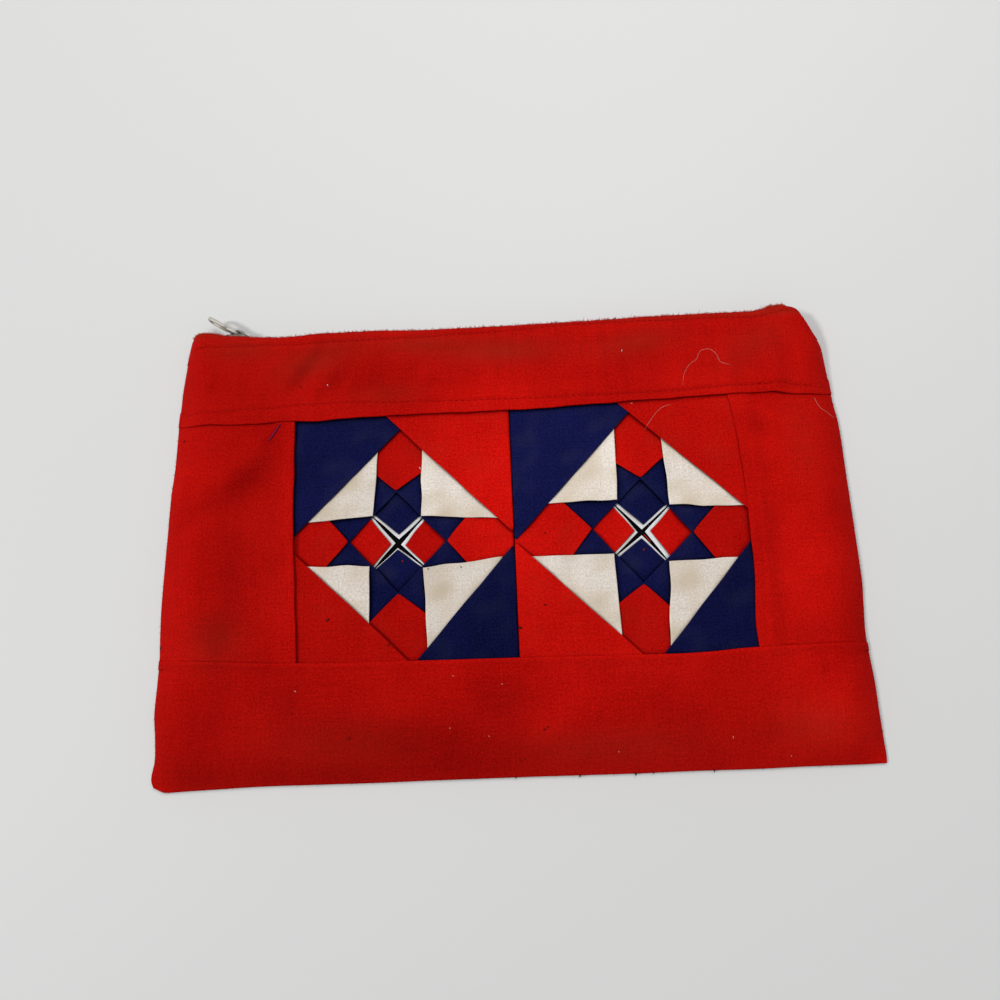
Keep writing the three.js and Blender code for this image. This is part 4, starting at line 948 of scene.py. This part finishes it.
def folded_chevron(apex, shoulders, outward, far, top, seed):
    """A patch with a pointed fold, from one shoulder over the apex to the other, that reaches outwards
    to a straight end: rows start on the fold at each place across, and end at one distance."""
    across = np.array((-outward[1], outward[0]))
    arms = shoulders - apex
    slopes = (arms @ outward) / np.abs(arms @ across)
    u = np.linspace(-LOBE_HALF, LOBE_HALF, 41)
    slope = np.where((u > 0) == (arms[0] @ across > 0), *slopes)
    start = slope * (np.sqrt(u * u + APEX_ROUND**2) - APEX_ROUND) + 0.12 * ripples(u, 0, 14, seed + 5)
    slant = np.sqrt(1 + slope * slope)
    depth = fold_steps(far - apex @ outward - start, NOSE * slant)
    plan = apex + u[:, None, None] * across + (start[:, None] + depth)[..., None] * outward
    nearest = depth / slant[:, None]
    return patch_shell(plan, nearest, rounding(nearest), top, seed, LOBE_LIFT)


def away(run, place):
    """The direction across a run that points from the block's centre to the place's side."""
    across = np.array((run[1], -run[0]))
    return across if across @ place > 0 else -across


def corner_patch(block, diagonal, top, seed, held, sunk):
    """A large corner triangle: its fold lies between two measured points, carried on until it is under
    the hems, and each depth ends on the nearer side of the block's opening."""
    folds = np.array(DIAGONAL_FOLDS[block][diagonal][4:])
    first, second = folds + CENTRES[block]
    run = unit(second - first)
    outward = away(run, folds[0])
    west, east, south, north = BLOCK_SIDES[block]
    walls = np.array((east if outward[0] > 0 else west, north if outward[1] > 0 else south))
    along_to_x, along_to_y = (walls - LEAST_DEPTH * outward - first) / run
    points = first + np.linspace(along_to_y, along_to_x, 46)[:, None] * run
    depth = ((walls - points) / outward).min(1)
    return folded_edge(points[0], points[-1], outward, depth, top, seed, LIFT, held, sunk)


# Patches that are paler than the cloth round them, or deeper
PATCH_TONE = {
    "left_block": {
        "corner_northeast": 0.05, "corner_southwest": -0.09, "corner_southeast": -0.20,
        "white_triangle_northeast": 0.05, "red_lobe_north": -0.11, "red_lobe_south": -0.14,
        "inner_point_east": -0.12, "red_lobe_west": -0.03, "white_triangle_northwest": -0.04,
        "white_triangle_southeast": -0.05,
    },
    "right_block": {
        "corner_northeast": 0.03, "corner_southwest": 0.06, "corner_northwest": 0.25,
        "corner_southeast": -0.15, "white_triangle_northwest": 0.13, "white_triangle_northeast": 0.07,
        "red_lobe_north": 0.10, "red_lobe_east": -0.10, "red_lobe_south": -0.12, "red_lobe_west": 0.05,
        "inner_point_east": 0.12, "inner_point_west": 0.14,
    },
}


def patch_soil(block, x, y, colour):
    """White patches yellow in blotches, coloured ones hardly at all."""
    blotches = 0.5 + 0.5 * ripples(x - CENTRES[block][0], y - CENTRES[block][1], 14, 61)
    return np.clip(blotches * (0.75 if colour == "white" else 0.15) - 0.08, 0, 1)


def star_patch(block, layer, direction, colour, body):
    """One folded patch as a piece, in straight or bias cotton of its colour, with its soil and tone."""
    node = f"{block}_{layer}_{direction}"
    x, y = body[0][:, 0], body[0][:, 1]
    fade = np.full(len(x), PATCH_TONE[block].get(f"{layer}_{direction}", 0.0))
    # Red patches also take the border table's tone, with its painted light and shade
    if colour == "red":
        fade += swells(TONE_AND_PAINTED_LIGHT, x, y)
    traits = {"soil": patch_soil(block, x, y, colour), "fade": fade}
    cloths = BIAS_CLOTHS if layer in ("white_edge", "inner_point") else STRAIGHT_CLOTHS
    made = piece(node + "_cloth", body, cloths[colour], node, traits=traits)


def foundation(block):
    """The black cloth under a block: a flat grid the size of its opening and allowances."""
    west, east, south, north = BLOCK_SIDES[block]
    x, y = np.meshgrid(np.linspace(west, east, 40), np.linspace(south, north, 40), indexing="ij")
    z = FOUNDATION_TOP + 0.05 * ripples(x, y, 15, 71)
    made = piece(f"{block}_foundation_cloth", cloth_shell(np.stack((x, y, z), -1), CLOTH), black_cotton,
                 f"{block}_foundation")


# Shares of the measured distance at which the folds' points start, and how far folds stand back
WHITE_POINT, INNER_POINT, WHITE_BACK, LOBE_BACK = 0.9, 0.82, 0.2, 0.5
WHITE_REACH, INNER_REACH = (17, 17), (16, 16)
STRIP_DEPTH, STRIP_OVERLAP, STRIP_STEP = 16.0, 2.5, 0.06
TIP_OVERLAP, TIP_SPARE = 1.5, 1.03
# Corner triangles: how far over the others, flat within which distance of their ends, and sunk there
CORNER_SETTING = {"red": (0.12, 2.0, 0.0), "navy": (0.0, 8.0, 0.45)}


def star_block(block, seed):
    """All patches of one block, from the centre outwards."""
    centre = np.array(CENTRES[block])
    west, east, south, north = BLOCK_SIDES[block]
    side_of = {"north": north, "east": east, "south": south, "west": west}
    foundation(block)
    for n, (arm, folds) in enumerate(ARM_FOLDS[block].items()):
        white, inner, window = np.array(folds[:3])
        outward = unit(window)
        ends = np.array([DIAGONAL_FOLDS[block][d][0] for d, arms in DIAGONAL_ARMS.items() if arm in arms])
        body = folded_point(WHITE_POINT * white + centre, ends + WHITE_BACK * outward + centre, WHITE_REACH,
                            LAYER_TOPS["white_edge"], seed + n, 0.1)
        star_patch(block, "white_edge", arm, "white", body)
        widths = np.array(WHITE_WIDTHS[block][arm])[:, None]
        body = folded_point(INNER_POINT * inner + centre, ends + widths * outward + centre, INNER_REACH,
                            LAYER_TOPS["inner_point"], seed + 10 + n, 0.15)
        star_patch(block, "inner_point", arm, ARM_COLOURS[arm], body)
        straight = np.array(ARM_WAYS[arm], float)
        body = folded_chevron(window + LOBE_BACK * outward + centre, np.array(folds[3:]) + centre, straight,
                              side_of[arm] * straight.sum(), LAYER_TOPS["red_lobe"], seed + 20 + n)
        star_patch(block, "red_lobe", arm, "red", body)
    for n, (diagonal, folds) in enumerate(DIAGONAL_FOLDS[block].items()):
        corner, tips = np.array(folds[1]), np.array(folds[2:4])
        upright, level = (np.array(ARM_FOLDS[block][arm][2]) for arm in DIAGONAL_ARMS[diagonal])
        run = unit(level - upright)
        body = folded_edge(upright - STRIP_OVERLAP * run + centre, level + STRIP_OVERLAP * run + centre,
                           away(run, upright), np.full(26, STRIP_DEPTH),
                           LAYER_TOPS["navy_strip"] + STRIP_STEP * (n % 2), seed + 30 + n, STRIP_LIFT)
        star_patch(block, "navy_strip", diagonal, "navy", body)
        reach = np.linalg.norm(tips - corner, axis=1) + TIP_OVERLAP
        body = folded_point(corner + centre, tips + centre, reach,
                            LAYER_TOPS["white_triangle"], seed + 40 + n)
        star_patch(block, "white_triangle", diagonal, "white", body)
        colour = CORNER_COLOURS[diagonal]
        over, held, sunk = CORNER_SETTING[colour]
        body = corner_patch(block, diagonal, LAYER_TOPS["corner"] + over, seed + 50 + n, held, sunk)
        star_patch(block, "corner", diagonal, colour, body)
    cloths = [o.name for o in bpy.data.objects if o.name.startswith(block) and o.name.endswith("_cloth")]
    print(block, "has", len(cloths), "cloths")


star_block("left_block", 100)
star_block("right_block", 300)

# %% [markdown]
# ## Stitches
# The folds are held down by rows of machine stitches in red thread. Each stitch is a short thread that
# comes out of the cloth and goes back in, so it is a thin tube bowed up in its middle, and a
# whole row is one array of such tubes.

# %% Stitch rows
STITCH, STITCH_GAP, THREAD_RADIUS = 1.75, 0.55, 0.13
STITCH_BOW, STITCH_SUNK, STITCH_STRAY = 0.16, 0.05, 0.06


def thread_material(name, colour):
    """Twisted sewing thread: a flat colour broken by fine noise along it."""
    material, tree, shader = new_finish(name, {"Roughness": 0.8, "Specular IOR Level": 0.05})
    noise = grain(tree, add(tree, "TexCoord").outputs["Object"], (2500, 2500), detail=2.0)
    darker = tuple(0.55 * c for c in colour)
    feed(tree, shader.inputs["Base Color"], mixed(tree, noise, darker, colour))
    return material


red_thread = thread_material("red thread", (0.42, 0.005, 0.004))


def stitch_row(run, level_at):
    """Tubes along a stitch line: their ends at equal steps, each bowed up by a sine over its length."""
    keys = np.arange(run[0][0] + 1, run[-1][0] - 1, STITCH + STITCH_GAP)
    share = np.linspace(0, 1, 5)
    key = keys[:, None] + STITCH * share
    value = along(run, key) + STITCH_STRAY * RNG.standard_normal(len(keys))[:, None]
    points = on_front(key, value, level_at(key, value) + STITCH_BOW * np.sin(np.pi * share) - STITCH_SUNK)
    return ringed(tubes(points, THREAD_RADIUS * np.array((0.7, 1, 1.05, 1, 0.7))))


rows = joined(
    stitch_row(TOP_STITCH, top_band_level),
    stitch_row(TOP_FOLD_STITCH, top_band_level),
)
stitches = piece("border_stitches", rows, red_thread)
print("stitch faces:", len(stitches.data.polygons))

# %% [markdown]
# ## The zipper
# Two woven tapes are sewn under the folds of the front and the back. Each turns at a right angle to
# the row of metal teeth, which looks out of the top edge. The slider stands at the left end, with an
# arched loop that carries the pull tab. Its metal is nickel plate, worn and a little dull; the
# slider's is made dark as painted shade and painted reflection.

# %% Metal and tape materials
def nickel_material(name, dark, bright, metal=1.0, smoothest=0.35, dullest=0.6):
    """Worn nickel plate: a noise varies its colour and roughness, and fine scratches lie all over it."""
    material, tree, shader = new_finish(name, {"Metallic": metal})
    place = add(tree, "TexCoord").outputs["Object"]
    tarnish = grain(tree, place, (500, 500), detail=5.0)
    feed(tree, shader.inputs["Base Color"], mixed(tree, tarnish, dark, bright))
    feed(tree, shader.inputs["Roughness"], ranged(tree, tarnish, result=(smoothest, dullest)))
    scratches = add(tree, "TexNoise", Vector=place, Scale=4000.0, Detail=2.0)
    bump = add(tree, "Bump", Strength=0.12, Distance=0.05 * MM, Height=scratches.outputs["Fac"])
    feed(tree, shader.inputs["Normal"], bump.outputs[0])
    return material


nickel = nickel_material("worn nickel", (0.50, 0.48, 0.42), (0.72, 0.70, 0.63))
# The slider's nickel is darkened as painted shade and painted reflection for the shadowed metal round its
# crown
shade_darkened_nickel = nickel_material("tarnished nickel", (0.10, 0.095, 0.085), (0.34, 0.33, 0.30))
satin_nickel = nickel_material("satin nickel", (0.42, 0.40, 0.35), (0.62, 0.60, 0.54), 0.55, 0.5, 0.7)
zip_tape = cotton("zipper tape", (0.30, 0.005, 0.004), (0.48, 0.014, 0.010), RED[2], turn=45, relief=0.8)
print("zipper finishes are ready")

# %% Zipper tapes and teeth
ZIP_Z = 4.95
ZIP_FACE_Y = 82.2
TAPE_LEFT, TAPE_RIGHT, CHAIN_LEFT = -111.4, 104.0, -105.6
TAPE, TAPE_LEG, TAPE_SEWN_Z, TAPE_TURN = 0.5, 10.0, 2.55, 1.2
# How far the tape's web stands behind the zipper's face, and ends off its middle
WEB_BACK, WEB_END = 2.3, 0.25
TOOTH_PITCH, TOOTH_COUNT = 3.0, 69
TOOTH, STOP = (1.45, 2.0, 2.2), (1.6, 2.2, 4.2)
# How far the teeth stand behind the zipper's face, and off its middle
TOOTH_BACK, TOOTH_ASIDE = 1.0, 0.85


def tape(side):
    """A tape's outer face: a leg under the fold, a round turn, and a web down to the chain, carried
    straight along the zipper."""
    web_y, bend_z = ZIP_FACE_Y - WEB_BACK, TAPE_SEWN_Z - TAPE_TURN
    leg = np.linspace(TAPE_LEG, TAPE_TURN, 9)[:-1]
    turn = np.linspace(0, np.pi / 2, 7)
    web = np.linspace(bend_z, WEB_END, 6)[1:]
    out = np.concatenate((-leg, -TAPE_TURN + TAPE_TURN * np.sin(turn), 0 * web))
    up = np.concatenate((np.full(len(leg), TAPE_SEWN_Z), bend_z + TAPE_TURN * np.cos(turn), web))
    x = np.linspace(TAPE_LEFT, TAPE_RIGHT, 216)[:, None]
    wave = 0.06 * ripples(x, 0, 12, 81 + side)
    grid = np.stack((x + 0 * out, web_y + out + wave, ZIP_Z + side * up + 0 * x), -1)
    return cloth_shell(grid if side < 0 else grid[:, ::-1], TAPE)


def squarish(around, power):
    """A ring between a circle and a square: the cosine and sine, each raised to a power below 1."""
    c, s = np.cos(ring_angles(around)), np.sin(ring_angles(around))
    return np.sign(c) * np.abs(c) ** power, np.sign(s) * np.abs(s) ** power


def rounded_bar(size, drawn_in=0.35, around=8):
    """Rings of a bar along y, (1, rings, round, 3): a squarish section that draws in at both ends."""
    u, v = squarish(around, 0.45)
    place = np.array((-0.5, -0.42, 0.42, 0.5))[:, None]
    scale = np.array((1 - drawn_in, 1, 1, 1 - drawn_in))[:, None]
    wide, high = 0.5 * size[0] * scale * u, 0.5 * size[2] * scale * v
    return np.stack((wide, size[1] * place + 0 * u, high), -1)[None]


def teeth():
    """The chain: one rounded tooth, copied along both tapes half a pitch apart, and a stop at its end."""
    low_x = CHAIN_LEFT + TOOTH_PITCH / 4 + TOOTH_PITCH * np.arange(TOOTH_COUNT)
    x = np.concatenate((low_x + TOOTH_PITCH / 2, low_x))
    z = ZIP_Z + np.repeat((TOOTH_ASIDE, -TOOTH_ASIDE), TOOTH_COUNT)
    places = np.stack((x, np.full(len(x), ZIP_FACE_Y - TOOTH_BACK), z), -1)
    chain = rounded_bar(TOOTH) + places[:, None, None]
    stop = rounded_bar(STOP) + np.array((TAPE_RIGHT - STOP[0], ZIP_FACE_Y - TOOTH_BACK, ZIP_Z))
    return joined(ringed(chain), ringed(stop))


for side, word in ((1, "front"), (-1, "back")):
    made = piece(f"zipper_tape_{word}_weave", tape(side), zip_tape, f"zipper_tape_{word}")
chain = piece("zipper_chain", teeth(), nickel, "zipper_teeth")
print("zipper chain faces:", len(chain.data.polygons))

# %% Slider and pull tab
SLIDER_X = -103.4
HINGE = np.array((SLIDER_X, 84.55, ZIP_Z))
TAB_ANGLE = np.radians(148)
TAB_WIDTH, TAB_THICKNESS, SLOT_THICKNESS = 5.5, 1.2, 1.1
# Outlines of the tab: points round, middle seen from the hinge, half length, half width
EYE_RIM, EYE_HOLE = (56, 8.8, 5.1, TAB_WIDTH / 2), (56, 10.5, 2.4, 1.3)
SLOT_RIM, SLOT_HOLE = (40, 2.6, 3.05, 2.3), (40, 2.15, 1.75, 1.35)
# Length along the zipper, depth, and height of the slider's parts, and how far its front stands out
OUTER_PLATE, INNER_PLATE, FLANGE = (9.0, 1.1, 5.4), (8.6, 0.9, 3.4), (7.6, 1.9, 0.6)
SLIDER_OUT, INNER_BACK, FLANGE_BACK, FLANGE_ASIDE = 0.85, 2.8, 1.2, 2.35
CROWN_HALF, CROWN_FOOT, CROWN_RISE, CROWN_WIDTH, CROWN_THICKNESS = 2.6, 0.3, 2.5, 2.0, 0.9


def swept(path, width, thickness, around=8):
    """Rings of a flat bar along a path in the x-y plane, wide along z."""
    tangent = unit(np.gradient(path, axis=0))
    aside = np.stack((-tangent[:, 1], tangent[:, 0], 0 * tangent[:, 0]), -1)
    u, v = squarish(around, 0.5)
    across, high = 0.5 * thickness * u[:, None], 0.5 * width * v[:, None]
    return (path[:, None] + aside[:, None] * across + high * np.array((0, 0, 1.0)))[None]


def slider():
    """Two plates with turned flanges, and an arched crown on the outer one."""
    outer_y = ZIP_FACE_Y + SLIDER_OUT
    outer = rounded_bar(OUTER_PLATE, 0.12, 24) + np.array((SLIDER_X, outer_y, ZIP_Z))
    inner = rounded_bar(INNER_PLATE, 0.12, 24) + np.array((SLIDER_X, ZIP_FACE_Y - INNER_BACK, ZIP_Z))
    flanges = [
        rounded_bar(FLANGE, 0.2) + np.array((SLIDER_X, outer_y - FLANGE_BACK, ZIP_Z + side * FLANGE_ASIDE))
        for side in (-1, 1)
    ]
    turn = np.linspace(0, np.pi, 25)
    arch_y = outer_y + CROWN_FOOT + CROWN_RISE * np.sin(turn) ** 0.7
    arch = np.stack((SLIDER_X - CROWN_HALF * np.cos(turn), arch_y, np.full(len(turn), ZIP_Z)), -1)
    crown = swept(arch, CROWN_WIDTH, CROWN_THICKNESS)
    return joined(*(ringed(b) for b in (outer, inner, *flanges, crown)))


def stadium(count, centre, half_length, half_width):
    """A closed outline with round ends: a circle pulled apart along its length."""
    angle = np.linspace(0, 2 * np.pi, count, endpoint=False)
    straight = half_length - half_width
    along_tab = centre + half_width * np.cos(angle) + straight * np.tanh(6 * np.cos(angle))
    return np.stack((along_tab, half_width * np.sin(angle)), -1)


def holed_plate(outer, inner, thickness):
    """A flat ring between two outlines: a section that runs round the outer rim, over one face, round
    the hole's rim and back over the other face."""
    share = np.array((0.0, 0.05, 0.15, 0.85, 0.95, 1.0, 0.95, 0.85, 0.15, 0.05))
    height = np.array((0.0, 0.41, 0.5, 0.5, 0.41, 0.0, -0.41, -0.5, -0.5, -0.41))
    flat = outer[:, None] + share[:, None] * (inner - outer)[:, None]
    return np.concatenate((flat, np.broadcast_to(thickness * height[:, None], flat.shape[:2] + (1,))), -1)


def pull_tab():
    """A plate with an oval eye at its free end and a slot that the crown passes through, whose end bar
    lies on the hinge, in a plane upright to the table, turned to the way it lies."""
    eye = holed_plate(stadium(*EYE_RIM), stadium(*EYE_HOLE), TAB_THICKNESS)
    slot = holed_plate(stadium(*SLOT_RIM), stadium(*SLOT_HOLE), SLOT_THICKNESS)
    c, s = np.cos(TAB_ANGLE), np.sin(TAB_ANGLE)

    def laid(grid):
        length, across, thick = grid[..., 0], grid[..., 1], grid[..., 2]
        return np.stack((length * c - thick * s, length * s + thick * c, across), -1) + HINGE

    return joined(looped(laid(eye)), looped(laid(slot)))


piece("slider_body", slider(), shade_darkened_nickel, "slider")
piece("pull_tab_plate", pull_tab(), satin_nickel, "pull_tab", rides="pull_tab")
print("slider and tab made at", HINGE.tolist())

# %% [markdown]
# ## Fray, lint and loose threads
# An old cotton pouch sheds. Short fibres stand along the worn zipper fold and the seams, tufts fray
# out of both zipper ends, and a few loose threads and specks lie on the cloth. All fibres of a kind
# are one array of thin bent tubes.

# %% Fibres and threads
FIBRE_RADIUS, WORN_RADIUS = 0.05, 0.075
LONGEST, CURL = 1.6, 0.5
TOP_FUZZ, EDGE_FUZZ, TUFT = 3600, 400, 700
red_fibre = thread_material("red fibre", (0.55, 0.030, 0.020))
pale_red_fibre = thread_material("pale red fibre", (0.85, 0.36, 0.29))
orange_fibre = thread_material("frayed fibre", (0.66, 0.16, 0.09))
pale_fibre = thread_material("pale fibre", (0.85, 0.70, 0.62))
dark_fibre = thread_material("dark speck", (0.05, 0.012, 0.012))
brown_fibre = thread_material("brown smudge", (0.17, 0.008, 0.006))
violet_fibre = thread_material("violet thread", (0.17, 0.014, 0.075))


def edge_fibres(x, y, level, lean, length, spread, radius=FIBRE_RADIUS):
    """Thin tubes rooted on the front at given places. They lean along a direction, each astray by a
    spread, and bend by a random sideways curl that grows with the square of the distance."""
    bases = on_front(x, y, level)
    run = unit(np.asarray(lean) + RNG.normal(0, spread, bases.shape))
    lengths = np.minimum(RNG.gamma(3.0, length / 3, len(x)), LONGEST * length)
    bend = RNG.normal(0, CURL, bases.shape)
    share = np.linspace(0, 1, 4)[:, None]
    paths = bases[:, None] + lengths[:, None, None] * (run[:, None] * share + bend[:, None] * share**2)
    return ringed(tubes(paths, radius * np.array((1, 1, 0.8, 0.4))))


x = RNG.uniform(-121, 113, TOP_FUZZ)
y = HALF_HEIGHT - RNG.uniform(0, 0.6, TOP_FUZZ)
top_fuzz = edge_fibres(x, y, 9.5, (0, 1, 0.3), 0.42, 0.7, WORN_RADIUS)
x = RNG.uniform(-121, 121, EDGE_FUZZ)
bottom_fuzz = edge_fibres(x, np.full(EDGE_FUZZ, -HALF_HEIGHT + 0.2), 9.0, (0, -1, 0.3), 0.28, 0.6)
y = RNG.uniform(-80, 80, EDGE_FUZZ)
left_fuzz = edge_fibres(np.full(EDGE_FUZZ, 0.2 - HALF_WIDTH), y, 9.0, (-1, 0, 0.3), 0.28, 0.6)
right_fuzz = edge_fibres(np.full(EDGE_FUZZ, HALF_WIDTH - 0.2), y, 9.0, (1, 0, 0.3), 0.28, 0.6)
piece("edge_fuzz", joined(top_fuzz, bottom_fuzz, left_fuzz, right_fuzz), red_fibre)

y = np.full(TUFT, HALF_HEIGHT - 0.3)
left_tuft = edge_fibres(RNG.uniform(-121, -109, TUFT), y, 9.2, (-0.3, 1, 0.3), 0.45, 0.6, WORN_RADIUS)
right_tuft = edge_fibres(RNG.uniform(103, 112, TUFT), y, 9.4, (0.3, 1, 0.3), 0.45, 0.6, WORN_RADIUS)
piece("zipper_end_tufts", joined(left_tuft, right_tuft), orange_fibre)
print("fuzz and tufts made")

# %% [markdown]
# Loose threads and specks lie on whatever cloth is uppermost at their place. A tree of all cloth faces
# finds that height by a ray straight down, so that nothing floats and nothing is buried.

# %% Loose threads and specks
RAY_START = 40.0
cloth_tree = BVHTree.FromPolygons(*(part.tolist() for part in joined(*CLOTH_BODIES)))


def resting(x, y):
    """Points on the uppermost cloth at places of the plain rectangle, moved to the uneven outline."""
    x, y = wander(np.asarray(x, float), np.asarray(y, float))
    return np.array([cloth_tree.ray_cast((a, b, RAY_START), (0, 0, -1))[0] for a, b in zip(x, y)])


def loose_thread(places, radius, steps=40):
    """A thread that lies on the front along a smooth curve through its places, thin at both ends."""
    rows = np.column_stack((np.arange(len(places)), places))
    at = np.linspace(0, len(places) - 1, steps)
    path = resting(along(rows, at, 1), along(rows, at, 2)) + (0, 0, 0.6 * radius)
    from_end = np.minimum(np.linspace(0, 1, steps), np.linspace(1, 0, steps))
    return ringed(tubes(path[None], radius * np.minimum(1, 6 * from_end + 0.3)))


def specks(rows):
    """Crumbs of lint: short fat fibres that lie on the cloth. A row is x, y and half its length."""
    x, y, half = np.asarray(rows, float).T
    turn = RNG.uniform(0, np.pi, len(x))
    run = np.stack((np.cos(turn), np.sin(turn), 0.1 + 0 * turn), -1)
    share = np.linspace(-1, 1, 5)
    paths = resting(x, y)[:, None] + half[:, None, None] * share[:, None] * run[:, None] + (0, 0, 0.06)
    return ringed(tubes(paths, 0.36 * half[:, None] * np.array((0.6, 1, 1.2, 1, 0.6))))


CURLY_THREAD = (
    (66.7, 53.1), (67.9, 58.1), (71.0, 62.4), (73.2, 63.8), (74.5, 66.3), (75.6, 67.4), (78.4, 67.8),
    (80.9, 65.7), (82.2, 62.6), (83.8, 61.8), (86.5, 61.0),
)
BLOCK_THREAD = ((62.0, 46.4), (57.8, 44.8), (54.1, 40.7), (51.1, 36.6))
RIGHT_THREAD = ((113.8, 47.6), (114.6, 45.0), (115.8, 43.1), (117.6, 42.2), (119.2, 41.5), (121.5, 40.6))
VIOLET_THREAD = ((-87.6, 38.4), (-85.4, 41.6), (-83.6, 44.6))
RED_DASH = ((48.1, -2.1), (49.0, -3.2), (50.3, -5.1))
threads = joined(*(loose_thread(places, 0.055) for places in (CURLY_THREAD, BLOCK_THREAD, RIGHT_THREAD)))
piece("violet_thread", loose_thread(VIOLET_THREAD, 0.28, 14), violet_fibre)

# x, y, half length
LINT = ((45.4, 68.7, 0.4), (-66.5, 59.8, 0.4), (-31.9, 25.6, 0.5), (47.3, 47.3, 0.3))
PINK_LINT = (
    (-75.3, -52.2, 0.4), (-21.3, -49.1, 0.35), (-22.8, -65.7, 0.3), (-9.7, -68.6, 0.3), (-4.7, -52.4, 0.35),
    (71.7, -71.6, 0.35), (91.1, -78.2, 0.3), (33.4, -74.7, 0.3),
)
DARK_SPECKS = (
    (-119.0, 41.2, 0.6), (-64.5, -28.5, 0.7), (2.2, -33.8, 0.8), (-17.7, -11.7, 0.35), (-29.4, -11.9, 0.35),
    (-122.6, -35.2, 0.7), (68.9, -42.2, 0.4), (12.6, -0.5, 0.4), (-76.9, 59.9, 0.4),
)
BROWN_SPECKS = (
    (-43.2, -37.8, 0.6), (-56.6, -67.8, 0.5), (9.0, -67.2, 0.5), (10.2, -66.4, 0.4), (0.8, -76.7, 0.4),
    (1.9, -76.2, 0.3), (47.4, -67.3, 0.3), (11.3, -26.2, 0.5),
)
RED_SPECKS = ((-38.7, -8.6, 0.45), (47.5, -7.8, 0.45))
BOTTOM_ENDS = (-1.4, 20.5, 39.5, 45.4, 66.1)
piece("loose_threads", joined(threads, specks(PINK_LINT)), pale_red_fibre)
piece("lint", specks(LINT), pale_fibre)
piece("brown_specks", specks(BROWN_SPECKS), brown_fibre)
piece("red_bits", joined(specks(RED_SPECKS), loose_thread(RED_DASH, 0.2, 8)), red_fibre)
x = np.repeat(np.array(BOTTOM_ENDS), 9)
ends = edge_fibres(x, np.full(len(x), -HALF_HEIGHT + 0.1), 9.0, (0, -1, 0.4), 0.36, 0.9, 0.2)
piece("dark_specks", joined(specks(DARK_SPECKS), ends), dark_fibre)
print("fibres and threads made")

# %% [markdown]
# ## Table and light
# The pouch lies on a pale table under broad soft light, a little stronger from the far left, so folds
# throw short soft shadows to the right. A far window, a lamp over the zipper side and a pale surround
# do that, and the light fades a little towards the viewer.

# %% Table and light
floor_data = bpy.data.meshes.new("table")
floor_data.from_pydata([(-3, -3, 0), (3, -3, 0), (3, 3, 0), (-3, 3, 0)], [], [(0, 1, 2, 3)])
floor = bpy.data.objects.new("table", floor_data)
bpy.context.collection.objects.link(floor)
pale, _, _ = new_finish("pale table", {"Base Color": (0.70, 0.70, 0.685, 1), "Roughness": 0.6})
floor_data.materials.append(pale)

world = bpy.data.worlds.new("surround")
world.use_nodes = True
world.node_tree.nodes["Background"].inputs["Color"].default_value = (0.96, 0.97, 1.0, 1)
world.node_tree.nodes["Background"].inputs["Strength"].default_value = 0.388
bpy.context.scene.world = world


def lamp(name, place, aim, size, energy):
    """A square area light that faces a point."""
    data = bpy.data.lights.new(name, "AREA")
    data.size = size
    data.energy = energy
    light = bpy.data.objects.new(name, data)
    light.location = place
    light.rotation_euler = (Vector(aim) - light.location).to_track_quat("-Z", "Y").to_euler()
    bpy.context.collection.objects.link(light)


lamp("window", (-2.3, -0.35, 2.2), (0, 0, 0), 0.40, 46.0)
lamp("ceiling", (0.15, 0.55, 0.85), (0.05, 0.2, 0), 0.6, 4.2)
print("lit by a window, a ceiling lamp and a pale surround")
